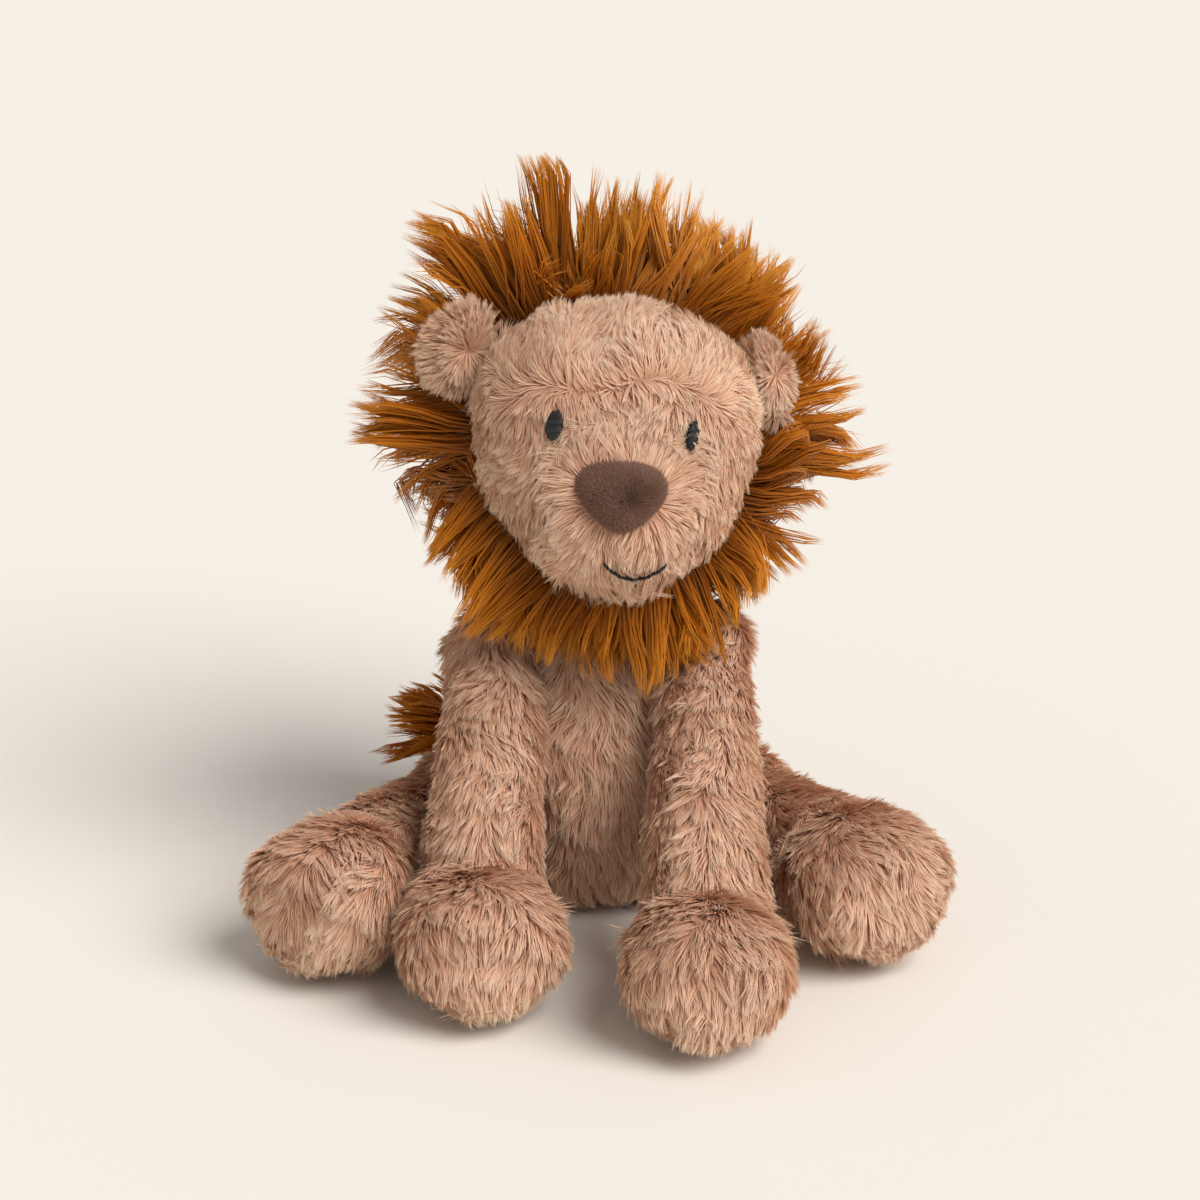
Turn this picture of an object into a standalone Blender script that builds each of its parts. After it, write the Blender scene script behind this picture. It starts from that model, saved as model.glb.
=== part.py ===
"""A seated plush lion as its sewn pieces: furry skins, their fillings, a long-pile mane and trims.

The toy sits on its seat with its face towards -Y. +Z is up and +X is the toy's own left.
The origin is the middle of the flat seat. Every skin is a thin shell that is open where it is
sewn to its neighbour, with loose fibre and a pouch of pellets inside. Head, legs, ears and tail
turn in round sockets, so their sewn seams are shown as balls that keep a small clearance.
"""

import math

import bmesh
import bpy
from mathutils import Matrix, Vector

mm = 0.001

# Cloth, clearances and seams
skin_thickness = 2.5 * mm
fit_gap = 0.3 * mm
filling_gap = 0.6 * mm
joint_gap = 0.5 * mm
floor_cut = 0.5 * mm
thread_radius = 0.5 * mm

# Torso: height, full width and depth, and how far its top leans towards the face
torso_height = 104 * mm
torso_width = 100 * mm
torso_depth = 96 * mm
torso_forward = 5 * mm
torso_lean = 6 * mm
seat_pouch_height = 24 * mm
# Rings of the torso: height, width, depth and lean
torso_ring_shares = (
    (0.03, 0.74, 0.72, 0.0),
    (0.16, 1.01, 0.99, 0.0),
    (0.42, 1.01, 1.03, 0.1),
    (0.68, 0.83, 0.87, 0.4),
    (0.87, 0.63, 0.67, 0.8),
    (0.985, 0.36, 0.36, 1.0),
)

# Neck: a ball of firm filling between torso and head
neck_radius = 19 * mm
neck_sink = 13 * mm
neck_forward = 9 * mm
neck_aside = 1 * mm

# Head: place of its middle, its pose, and full sizes of skull and muzzle
head_sink = 17 * mm
head_forward = 16 * mm
head_aside = 3 * mm
head_turn_degrees = 3.5
head_pitch_degrees = 6
head_roll_degrees = 5
skull_width = 88 * mm
skull_depth = 82 * mm
skull_height = 86 * mm
skull_squareness = 2.45
jaw_taper_share = 0.10
muzzle_width = 54 * mm
muzzle_depth = 54 * mm
muzzle_height = 52 * mm
muzzle_forward = 24 * mm
muzzle_drop = 14 * mm
muzzle_blend = 10

# Nose, eyes and mouth, in the head's own frame
nose_width = 27 * mm
nose_height = 21 * mm
nose_thickness = 7 * mm
nose_drop = 5 * mm
# Rings of the nose from brow to lip: way down, width
nose_ring_shares = ((-0.34, 0.74), (-0.08, 1.06), (0.30, 0.68))
eye_spread = 20.5 * mm
eye_lift = 11 * mm
eye_width = 7 * mm
eye_height = 9 * mm
eye_thickness = 3 * mm
mouth_half_width = 13 * mm
mouth_aside = 1.5 * mm
mouth_drop = 28 * mm
mouth_sag = 5 * mm
mouth_steps = 10

# Ears, on balls at the skull's upper corners
ear_root_radius = 7 * mm
ear_length = 23 * mm
ear_width = 26 * mm
ear_thickness = 10 * mm
ear_angle_degrees = 27
ear_back = 5 * mm
ear_sink = 2 * mm
# Rings of the ear from root to rim: way out, width
ear_ring_shares = ((0.16, 0.72), (0.50, 1.06), (0.84, 0.74))

# Mane: the crown round the back of the head, and the beard under the chin
mane_pile = 27 * mm
mane_front = 14 * mm
mane_lift = 2 * mm
mane_aside = -2 * mm
mane_below = 40 * mm
mane_steps = 20
# Outline of the crown from its front rim to its back: radius, depth
mane_outline_shares = (
    (0.0, 0.0),
    (0.5, 0.0),
    (0.90, 0.0),
    (1.0, 0.14),
    (0.96, 0.38),
    (0.72, 0.76),
    (0.0, 1.0),
)
beard_proud = 5 * mm
beard_thickness = 24 * mm
beard_width = 30 * mm
# Way from the head's middle to the beard's line: aside, ahead, down at its ends, down at its middle
beard_way_shares = (0.94, 0.54, 0.60, 0.98)
# Places along the beard: quarter turns from its middle, and its fullness there
beard_ring_shares = ((-0.82, 0.55), (-0.45, 0.9), (0.0, 1.05), (0.45, 0.9), (0.82, 0.55))

# Front legs: shoulder ball, shank and foot. Strides differ, because the paws stand unevenly.
shoulder_radius = 17 * mm
shoulder_drop = 20 * mm
shoulder_bearing_degrees = 36
shoulder_proud = 4 * mm
shank_radius = 17 * mm
# Rings of the shank from shoulder to ankle: way down, size
shank_ring_shares = ((0.12, 0.90), (0.52, 1.06), (0.94, 1.08))
shank_bow_share = 0.10
front_lift_degrees = 28
front_foot_spread = 33.5 * mm
front_feet_aside = -2 * mm
front_foot_width = 50 * mm
front_foot_length = 57 * mm
front_foot_height = 46 * mm
front_stride_left = 118 * mm
front_stride_right = 100 * mm
ankle_back_share = 0.36
ankle_height_share = 0.70

# Hind legs: hip ball, thigh and foot, splayed flat on the floor
hip_radius = 19 * mm
hip_height = 24 * mm
hip_bearing_degrees = 9
hip_sink = 1 * mm
thigh_radius = 18 * mm
# Rings of the thigh from hip to ankle: way out, size
thigh_ring_shares = ((0.12, 0.84), (0.50, 1.02), (0.92, 0.98))
thigh_way_share = 0.74
hind_lift_degrees = 20
hind_foot_spread = 81 * mm
hind_stride_left = 68 * mm
hind_stride_right = 77 * mm
hind_foot_width = 52 * mm
hind_foot_length = 50 * mm
hind_foot_height = 50 * mm

# Feet, all four: rings from heel to toe, and where the pellet pouch begins
foot_ring_shares = ((-0.34, 0.80), (0.0, 1.08), (0.34, 0.84))
foot_pouch_share = 0.02

# Tail: a slim plush tube that ends in a long-pile tuft
tail_radius = 6 * mm
tail_root_radius = 8 * mm
tail_root_height = 14 * mm
tail_proud = 1 * mm
tail_reach = 56 * mm
tail_back = 11 * mm
tail_rise = 15 * mm
tail_ring_shares = (0.12, 0.45, 0.8)
tail_bend_share = 0.9
tuft_length = 27 * mm
tuft_depth = 23 * mm
tuft_height = 29 * mm
tuft_ring_shares = ((-0.34, 0.8), (0.0, 1.06), (0.34, 0.8))

# The closing seam, a ladder of thread up the back
seam_length = 34 * mm
seam_width = 5 * mm
seam_place_share = 0.6
seam_stitches = 6

# Corners round the torso, round a limb, round small forms, and round a ball that turns
wide_sides = 10
plain_sides = 8
inner_sides = 6
ball_sides = 12
ball_rings = 7
head_sides = 24
head_rings = 14
head_inner_sides = 14
head_inner_rings = 8

# Rounds that bring a point on the head's front to where it was asked for
aim_rounds = 12

plush_colour = (0.50, 0.30, 0.19)
mane_colour = (0.42, 0.15, 0.02)
nose_colour = (0.09, 0.05, 0.035)
thread_colour = (0.01, 0.01, 0.012)
fibre_colour = (0.85, 0.85, 0.83)
pouch_colour = (0.70, 0.68, 0.62)

up = Vector((0, 0, 1))
ahead = Vector((0, -1, 0))
aside = Vector((1, 0, 0))
hands = {"left": 1, "right": -1}
filling_inset = -(skin_thickness + filling_gap)
room = torso_width + hind_foot_spread + front_stride_left

for leftover in list(bpy.data.objects):
    bpy.data.objects.remove(leftover, do_unlink=True)

parts = bpy.data.collections.new("plush_lion")
cutters = bpy.data.collections.new("cutters")
bpy.context.scene.collection.children.link(parts)
bpy.context.scene.collection.children.link(cutters)


def material(name, colour, roughness):
    """A matte cloth or thread finish."""
    made = bpy.data.materials.new(name)
    made.use_nodes = True
    shader = made.node_tree.nodes["Principled BSDF"]
    shader.inputs["Base Color"].default_value = (*colour, 1)
    shader.inputs["Roughness"].default_value = roughness
    shader.inputs["Metallic"].default_value = 0
    return made


plush = material("plush", plush_colour, 0.95)
long_pile = material("long_pile", mane_colour, 0.8)
nose_cloth = material("nose_cloth", nose_colour, 0.9)
thread = material("thread", thread_colour, 0.6)
fibre = material("fibre", fibre_colour, 1.0)
pouch_cloth = material("pouch_cloth", pouch_colour, 0.9)


def put(name, mesh):
    """Adds a mesh as a hidden helper; keep() turns it into a piece of the toy."""
    made = bpy.data.objects.new(name, mesh)
    cutters.objects.link(made)
    made.hide_render = True
    made.display_type = "WIRE"
    return made


def joint(name, place):
    """An empty at the place that a moving group turns about."""
    made = bpy.data.objects.new(name, None)
    made.location = place
    made.empty_display_size = neck_radius
    parts.objects.link(made)
    return made


def hang(made, on):
    """Parents a piece to a joint without moving it."""
    bpy.context.view_layer.update()
    made.parent = on
    made.matrix_parent_inverse = on.matrix_world.inverted()


def keep(made, name, finish, on=None):
    """Moves an object to the toy's own collection, with its node name, material and joint."""
    cutters.objects.unlink(made)
    parts.objects.link(made)
    made.hide_render = False
    made.display_type = "TEXTURED"
    made.name = name
    made.data.materials.clear()
    made.data.materials.append(finish)
    made.data.shade_smooth()
    if on is not None:
        hang(made, on)


def boolean(target, operation, others):
    """Cuts with, joins or keeps the common part with other closed objects.

    Ball, limb, foot and torso nearly share some of their faces, so all are taken as manifolds.
    """
    for other in others:
        modifier = target.modifiers.new(operation.lower(), "BOOLEAN")
        modifier.operation = operation
        modifier.solver = "MANIFOLD"
        modifier.object = other


def less(target, *others):
    boolean(target, "DIFFERENCE", others)


def plus(target, *others):
    boolean(target, "UNION", others)


def common(target, *others):
    boolean(target, "INTERSECT", others)


def evaluated(made):
    bpy.context.view_layer.update()
    return made.evaluated_get(bpy.context.evaluated_depsgraph_get())


def settled(made):
    """Applies an object's modifiers, so that it can be measured, copied or used as a cutter."""
    made.data = bpy.data.meshes.new_from_object(evaluated(made))
    made.modifiers.clear()
    return made


def soft_form(name, rings, side, ends, sides, grow=0, rounded=True):
    """A stuffed form: a sphere's cage whose rings are moved along a path, then rounded.

    Each ring has a centre, half its size across and half its rise; side points across, and
    ends are the two tips. Rounding once moves each corner to 6/8 of itself and 1/8 of each
    neighbour, so a cage of n corners shrinks to (3 + cos(turn / n)) / 4 of its size, and its
    tips to 1 - 5 / 3n of their height. Both are put right here. An inner form isn't rounded:
    its corners are put where rounding would have moved them.
    """
    round_share = (3 + math.cos(math.tau / sides)) / 4
    tip_share = 5 / (3 * sides - 5)
    path = [(ends[0], 0, 0), *rings, (ends[1], 0, 0)]
    last = len(rings) + 1
    for tip, inner in ((0, 1), (last, last - 1)):
        path[tip] = (ends[tip // last] + (ends[tip // last] - path[inner][0]) * tip_share, 0, 0)
    shown = list(path)
    if not rounded:
        round_share = 1
        for place in range(1, last):
            before, here, after = path[place - 1 : place + 2]
            shown[place] = tuple((b + 6 * h + a) / 8 for b, h, a in zip(before, here, after))
        shown[0] = (ends[0], 0, 0)
        shown[last] = (ends[1], 0, 0)
    cage = bmesh.new()
    bmesh.ops.create_uvsphere(cage, u_segments=sides, v_segments=last, radius=1)
    for corner in cage.verts:
        place = round(math.acos(max(-1, min(1, corner.co.z))) / math.pi * last)
        around = math.atan2(corner.co.y, corner.co.x)
        centre, half_across, half_rise = shown[place]
        if place in (0, last):
            inner = path[1][0] if place == 0 else path[last - 1][0]
            corner.co = centre + (centre - inner).normalized() * grow
            continue
        along = (path[place + 1][0] - path[place - 1][0]).normalized()
        across = (side - along * side.dot(along)).normalized()
        rise = across.cross(along)
        corner.co = (
            centre
            + across * (math.cos(around) * (half_across + grow) / round_share)
            + rise * (math.sin(around) * (half_rise + grow) / round_share)
        )
    mesh = bpy.data.meshes.new(name)
    cage.to_mesh(mesh)
    cage.free()
    made = put(name, mesh)
    if rounded:
        rounding = made.modifiers.new("rounding", "SUBSURF")
        rounding.levels = 1
        rounding.render_levels = 1
    return made


def ball(name, centre, radius, axis=aside, sides=ball_sides, rings=ball_rings):
    """A sphere whose poles lie on the axis that it turns about."""
    mesh = bpy.data.meshes.new(name)
    shape = bmesh.new()
    bmesh.ops.create_uvsphere(shape, u_segments=sides, v_segments=rings, radius=radius)
    turn = up.rotation_difference(axis).to_matrix().to_4x4()
    shape.transform(Matrix.Translation(centre) @ turn)
    shape.to_mesh(mesh)
    shape.free()
    return put(name, mesh)


def socket(name, centre, radius, axis=aside):
    """A hollow for a ball of the given radius, whose flat faces all stay clear of the ball."""
    flatness = math.cos(math.pi / ball_sides) * math.cos(math.pi / (2 * ball_rings))
    return ball(name, centre, (radius + joint_gap) / flatness, axis)


def beyond(name, place, direction):
    """A great block whose face passes through a place, on the side that a direction points to."""
    mesh = bpy.data.meshes.new(name)
    shape = bmesh.new()
    bmesh.ops.create_cube(shape, size=room)
    turn = up.rotation_difference(direction).to_matrix().to_4x4()
    shape.transform(Matrix.Translation(place) @ turn @ Matrix.Translation(up * room / 2))
    shape.to_mesh(mesh)
    shape.free()
    return put(name, mesh)


def sewn_thread(name, points, on=None):
    """A thread along a list of points, with filled ends."""
    curve = bpy.data.curves.new(name, "CURVE")
    curve.dimensions = "3D"
    curve.bevel_depth = thread_radius
    curve.bevel_resolution = 1
    curve.use_fill_caps = True
    line = curve.splines.new("POLY")
    line.points.add(len(points) - 1)
    for knot, place in zip(line.points, points):
        knot.co = (*place, 1)
    curve.materials.append(thread)
    made = bpy.data.objects.new(name, curve)
    parts.objects.link(made)
    if on is not None:
        hang(made, on)


def lowest(made):
    return min(corner.co.z for corner in made.data.vertices)


def highest(made):
    return max(corner.co.z for corner in made.data.vertices)


def mirrored(vector, hand):
    return Vector((vector.x * hand, vector.y, vector.z))


def surface_hit(made, start, direction):
    """Where a ray meets an object's surface, and the surface's own outward direction there."""
    found, place, outward, _ = evaluated(made).ray_cast(start, direction)
    if not found:
        raise ValueError(f"no surface of {made.name} on the way")
    return place, outward


def bearing(degrees):
    """The level direction that lies the given angle ahead of the toy's left."""
    angle = math.radians(degrees)
    return Vector((math.cos(angle), -math.sin(angle), 0))


below_floor = beyond("below_floor", Vector((0, 0, 0)), -up)


# Torso
def torso_form(name, grow, rounded=True):
    """The torso's egg, grown or shrunk."""
    rings = []
    for height, width, depth, lean in torso_ring_shares:
        centre = Vector((0, -torso_forward - lean * torso_lean, height * torso_height))
        rings.append((centre, width * torso_width / 2, depth * torso_depth / 2))
    ends = (
        Vector((0, -torso_forward, 0)),
        Vector((0, -torso_forward - torso_lean, torso_height)),
    )
    return soft_form(name, rings, aside, ends, wide_sides, grow, rounded)


def lowered(made, drop):
    """Moves a form down so that the floor takes a thin slice off it."""
    made.data.transform(Matrix.Translation(-up * drop))
    return made


torso_solid = settled(torso_form("torso_solid", 0))
torso_drop = lowest(torso_solid) + floor_cut
lowered(torso_solid, torso_drop)
torso_top = highest(torso_solid)
torso_clear = settled(lowered(torso_form("torso_clear", joint_gap), torso_drop))
torso_wall_clear = settled(
    lowered(torso_form("torso_wall_clear", joint_gap + skin_thickness), torso_drop)
)
torso_filling_clear = settled(
    lowered(torso_form("torso_filling_clear", joint_gap - filling_inset), torso_drop)
)


def on_torso(height, direction, proud):
    """The place a little out of, or in, the torso's side at a height."""
    place, _ = surface_hit(torso_solid, up * height, direction)
    return place + direction * proud


neck_centre = Vector((neck_aside, -neck_forward, torso_top + neck_radius - neck_sink))
shoulder_height = torso_height - shoulder_drop
shoulder_centre = on_torso(shoulder_height, bearing(shoulder_bearing_degrees), shoulder_proud)
hip_centre = on_torso(hip_height, bearing(hip_bearing_degrees), -hip_sink)
tail_root = on_torso(tail_root_height, -ahead, tail_proud)

sockets = [
    socket("neck_socket", neck_centre, neck_radius, up),
    socket("tail_socket", tail_root, tail_root_radius, up),
]
hind_feet = {}
hip_axes = {}
for hand_name, hand in hands.items():
    stride = hind_stride_left if hand > 0 else hind_stride_right
    hip = mirrored(hip_centre, hand)
    foot = Vector((hand * hind_foot_spread, -stride, hind_foot_height / 2))
    hind_feet[hand_name] = foot
    hip_axes[hand_name] = (foot - hip).cross(up).normalized()
    shoulder = mirrored(shoulder_centre, hand)
    sockets.append(socket(f"shoulder_socket_{hand_name}", shoulder, shoulder_radius))
    sockets.append(socket(f"hip_socket_{hand_name}", hip, hip_radius, hip_axes[hand_name]))

torso_skin = lowered(torso_form("torso_outside", 0), torso_drop)
less(torso_skin, lowered(torso_form("torso_hollow", -skin_thickness, rounded=False), torso_drop))
less(torso_skin, *sockets, below_floor)
keep(torso_skin, "torso_skin", plush)

above_pouch = beyond("above_pouch", up * seat_pouch_height, up)
below_filling = beyond("below_filling", up * (seat_pouch_height + fit_gap), -up)
torso_filling = lowered(torso_form("torso_inside", filling_inset, rounded=False), torso_drop)
less(torso_filling, below_filling, *sockets)
keep(torso_filling, "torso_filling", fibre)
seat_pouch = lowered(torso_form("torso_beans", filling_inset, rounded=False), torso_drop)
less(seat_pouch, above_pouch, *sockets)
keep(seat_pouch, "seat_pellet_pouch", pouch_cloth)

neck_joint = joint("neck_joint", neck_centre)
neck_plug = ball("neck_ball", neck_centre, neck_radius)
keep(neck_plug, "neck_plug", plush, neck_joint)

# Head, in its own frame, whose origin is its middle
head_centre = neck_centre + Vector(
    (head_aside, -head_forward, skull_height / 2 + neck_radius - head_sink)
)
head_frame = (
    Matrix.Translation(head_centre)
    @ Matrix.Rotation(math.radians(head_turn_degrees), 4, "Z")
    @ Matrix.Rotation(-math.radians(head_pitch_degrees), 4, "X")
    @ Matrix.Rotation(math.radians(head_roll_degrees), 4, "Y")
)
head_axes = head_frame.to_3x3()


def head_reach(direction, grow=0):
    """How far the head reaches from its middle in a direction of its own frame.

    The skull is a squared ellipsoid, narrower towards the jaw. The muzzle is an ellipsoid
    ahead of it, and its far side along the direction comes from the quadratic.
    """
    taper = 1 + jaw_taper_share * direction.z
    skull = (
        abs(direction.x / (skull_width / 2 * taper)) ** skull_squareness
        + abs(direction.y / (skull_depth / 2)) ** skull_squareness
        + abs(direction.z / (skull_height / 2)) ** skull_squareness
    ) ** (-1 / skull_squareness)
    half = Vector((muzzle_width / 2, muzzle_depth / 2, muzzle_height / 2))
    step = Vector((direction.x / half.x, direction.y / half.y, direction.z / half.z))
    offset = Vector((0, muzzle_forward / half.y, muzzle_drop / half.z))
    along = -step.dot(offset)
    inside = along * along - step.dot(step) * (offset.dot(offset) - 1)
    muzzle = 0
    if inside > 0:
        muzzle = max(0, (along + math.sqrt(inside)) / step.dot(step))
    return (skull**muzzle_blend + muzzle**muzzle_blend) ** (1 / muzzle_blend) + grow


def head_form(name, grow, sides, rings):
    """A ball, its poles at crown and chin, whose corners are moved out to the head's surface."""
    mesh = bpy.data.meshes.new(name)
    shape = bmesh.new()
    bmesh.ops.create_uvsphere(shape, u_segments=sides, v_segments=rings, radius=1)
    for corner in shape.verts:
        direction = corner.co.normalized()
        corner.co = direction * head_reach(direction, grow)
    shape.transform(head_frame)
    shape.to_mesh(mesh)
    shape.free()
    return put(name, mesh)


def on_head(x, z, proud=0):
    """The place on the head's front that lies ahead of (x, z) in its frame, and a bit proud."""
    aim = Vector((x, -skull_depth / 2, z))
    for _ in range(aim_rounds):
        direction = aim.normalized()
        place = direction * head_reach(direction, proud)
        aim += Vector((x - place.x, 0, z - place.z))
    return place


head_clear = head_form("head_clear", fit_gap, head_sides, head_rings)
neck_socket_in_head = socket("neck_socket_in_head", neck_centre, neck_radius, up)
head_joint = joint("head_joint", neck_centre)
hang(head_joint, neck_joint)

ear_angle = math.radians(ear_angle_degrees)
ears = []
for hand_name, hand in hands.items():
    out = Vector((hand * math.cos(ear_angle), 0, math.sin(ear_angle)))
    lie = Vector((-hand * math.sin(ear_angle), 0, math.cos(ear_angle)))
    root = out * head_reach(out, -ear_sink) - ahead * ear_back
    hollow = socket(f"ear_socket_{hand_name}", head_frame @ root, ear_root_radius, head_axes @ lie)
    ears.append((hand_name, root, out, lie, hollow))

head_skin = head_form("head_outside", 0, head_sides, head_rings)
less(head_skin, head_form("head_hollow", -skin_thickness, head_inner_sides, head_inner_rings))
less(head_skin, neck_socket_in_head)
head_filling = head_form("head_inside", filling_inset, head_inner_sides, head_inner_rings)
less(head_filling, neck_socket_in_head)
for ear in ears:
    less(head_skin, ear[-1])
    less(head_filling, ear[-1])
keep(head_skin, "head_skin", plush, head_joint)
keep(head_filling, "head_filling", fibre, head_joint)

# Ears: a flap on a ball, each laid out across its root's direction
for hand_name, root, out, lie, _ in ears:
    flap = soft_form(
        f"ear_flap_{hand_name}",
        [
            (
                head_frame @ (root + out * ear_length * far),
                ear_width / 2 * wide,
                ear_thickness / 2 * wide,
            )
            for far, wide in ear_ring_shares
        ],
        head_axes @ lie,
        (head_frame @ root, head_frame @ (root + out * ear_length)),
        inner_sides,
    )
    less(flap, head_clear)
    plus(flap, ball(f"ear_ball_{hand_name}", head_frame @ root, ear_root_radius, head_axes @ lie))
    ear_joint = joint(f"ear_joint_{hand_name}", head_frame @ root)
    hang(ear_joint, head_joint)
    keep(flap, f"ear_{hand_name}", plush, ear_joint)

# Nose: a padded patch, wide above and pointed below
nose_middle = on_head(0, -nose_drop)
nose_high = on_head(0, nose_height / 2 - nose_drop)
nose_low = on_head(0, -nose_height / 2 - nose_drop)
nose_line = (nose_low - nose_high).normalized() * nose_height
nose = soft_form(
    "nose",
    [
        (head_frame @ (nose_middle + nose_line * down), nose_width / 2 * wide, nose_thickness / 2)
        for down, wide in nose_ring_shares
    ],
    head_axes @ aside,
    (head_frame @ (nose_middle - nose_line / 2), head_frame @ (nose_middle + nose_line / 2)),
    plain_sides,
)
less(nose, head_clear)
keep(nose, "nose_patch", nose_cloth, head_joint)

# Eyes: small satin-stitched ovals that lie on the face
for hand_name, hand in hands.items():
    place = on_head(hand * eye_spread, eye_lift)
    eye = ball(f"stitched_eye_{hand_name}", Vector((0, 0, 0)), 1, up, plain_sides, inner_sides)
    turn = ahead.rotation_difference(place.normalized()).to_matrix().to_4x4()
    size = Matrix.Diagonal((eye_width / 2, eye_thickness / 2, eye_height / 2, 1))
    eye.data.transform(head_frame @ Matrix.Translation(place) @ turn @ size)
    less(eye, head_clear)
    keep(eye, f"eye_{hand_name}", thread, head_joint)

# Mouth: a smile of thread on the muzzle
mouth_points = []
for step in range(mouth_steps + 1):
    far = 2 * step / mouth_steps - 1
    mouth_points.append(
        head_frame
        @ on_head(
            mouth_aside + far * mouth_half_width,
            -mouth_drop - mouth_sag * (1 - far * far),
            thread_radius + fit_gap,
        )
    )
sewn_thread("mouth_stitch", mouth_points, head_joint)

# Mane crown: a bowl turned about the head's own fore-and-aft line, with a thick front rim
mane_radius = skull_width / 2 + mane_pile
mane_depth = skull_depth / 2 + mane_pile - mane_front
profile = bpy.data.meshes.new("mane_profile")
shape = bmesh.new()
corners = [
    shape.verts.new((radius * mane_radius, mane_front + depth * mane_depth, 0))
    for radius, depth in mane_outline_shares
]
for first, second in zip(corners, corners[1:]):
    shape.edges.new((first, second))
shape.to_mesh(profile)
shape.free()
mane = put("mane_bowl", profile)
turning = mane.modifiers.new("turning", "SCREW")
turning.axis = "Y"
turning.steps = mane_steps
turning.render_steps = mane_steps
turning.use_merge_vertices = True
turning.merge_threshold = 0.01 * mm
turning.use_normal_calculate = True
settled(mane)
mane.data.transform(head_frame @ Matrix.Translation(Vector((mane_aside, 0, mane_lift))))
under_mane = beyond("under_mane", head_centre - up * mane_below, -up)
less(mane, head_clear, under_mane, neck_socket_in_head)
keep(mane, "mane_crown", long_pile, head_joint)


# Mane beard: a crescent of long pile from jaw to jaw under the chin
def beard_place(quarter):
    """A place on the beard's line, a quarter turn being a right angle round from its middle."""
    angle = quarter * math.pi / 2
    side, front, down, more = beard_way_shares
    way = Vector(
        (
            side * math.sin(angle),
            -front * math.cos(angle),
            -down - (more - down) * math.cos(angle),
        )
    ).normalized()
    return head_frame @ (way * (head_reach(way) + beard_proud))


beard = soft_form(
    "beard",
    [
        (beard_place(quarter), beard_thickness / 2 * full, beard_width / 2 * full)
        for quarter, full in beard_ring_shares
    ],
    head_axes @ ahead,
    (beard_place(-1), beard_place(1)),
    plain_sides,
)
less(beard, head_clear)
keep(beard, "mane_beard", long_pile, head_joint)


# Legs
def leg_forms(name, leg, grow, rounded=True):
    """The limb and the foot of one leg, grown or shrunk alike."""
    rings = []
    for way, size in leg["rings"]:
        centre = leg["top"].lerp(leg["end"], way) + leg["bow"] * math.sin(math.pi * way)
        rings.append((centre, leg["radius"] * size, leg["radius"] * size))
    ends = (leg["top"], leg["foot"])
    limb = soft_form(f"{name}_limb", rings, leg["axis"], ends, plain_sides, grow, rounded)
    length, width, height = leg["size"]
    rings = []
    for way, size in foot_ring_shares:
        rings.append((leg["foot"] + leg["way"] * length * way, width / 2 * size, height / 2 * size))
    ends = (leg["foot"] - leg["way"] * length / 2, leg["foot"] + leg["way"] * length / 2)
    foot = soft_form(f"{name}_foot", rings, leg["axis"], ends, plain_sides, grow, rounded)
    return limb, lowered(foot, leg["drop"])


def trim_root(limb, torso, leg):
    """Trims a limb's root so that it clears the torso at rest and when the leg is lifted."""
    turn = Matrix.Rotation(-math.radians(leg["lift"]), 4, leg["lift_axis"])
    lifted_away = put(f"{torso.name}_from_{limb.name}", torso.data.copy())
    lifted_away.data.transform(
        Matrix.Translation(leg["top"]) @ turn @ Matrix.Translation(-leg["top"])
    )
    less(limb, torso, lifted_away)


def make_leg(name, leg):
    """One leg's skin, filling and pellet pouch. The skin is open at the top, inside its ball."""
    leg_joint = joint(f"{name}_joint", leg["top"])
    leg["drop"] = 0
    leg["drop"] = lowest(settled(leg_forms(f"{name}_measured", leg, 0)[1])) + floor_cut

    skin, foot = leg_forms(f"{name}_outside", leg, 0)
    trim_root(skin, torso_clear, leg)
    plus(skin, ball(f"{name}_ball", leg["top"], leg["ball"], leg["axis"]), foot)
    hollow, hollow_foot = leg_forms(f"{name}_hollow", leg, -skin_thickness, rounded=False)
    hollow_ball = ball(f"{name}_hollow_ball", leg["top"], leg["ball"] - skin_thickness, leg["axis"])
    trim_root(hollow, torso_wall_clear, leg)
    plus(hollow, hollow_ball, hollow_foot)
    opening = ball(
        f"{name}_opening",
        leg["top"] + leg["inward"] * leg["ball"],
        leg["ball"] / 2,
        leg["inward"],
        inner_sides,
        inner_sides,
    )
    less(skin, settled(hollow), opening, below_floor)
    keep(skin, f"{name}_skin", plush, leg_joint)

    filling, filling_foot = leg_forms(f"{name}_inside", leg, filling_inset, rounded=False)
    filling_ball = ball(f"{name}_filling_ball", leg["top"], leg["ball"] + filling_inset, leg["axis"])
    trim_root(filling, torso_filling_clear, leg)
    plus(filling, filling_ball, filling_foot)
    settled(filling)
    pouch = put(f"{name}_beans", filling.data.copy())
    pouch_start = leg["foot"] + leg["way"] * leg["size"][0] * foot_pouch_share
    pouch_room = beyond(f"{name}_pouch_room", pouch_start - leg["way"] * fit_gap, leg["way"])
    less(filling, pouch_room, opening)
    keep(filling, f"{name}_filling", fibre, leg_joint)
    common(pouch, beyond(f"{name}_past_pouch", pouch_start, leg["way"]))
    keep(pouch, f"{name}_pellet_pouch", pouch_cloth, leg_joint)


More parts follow.
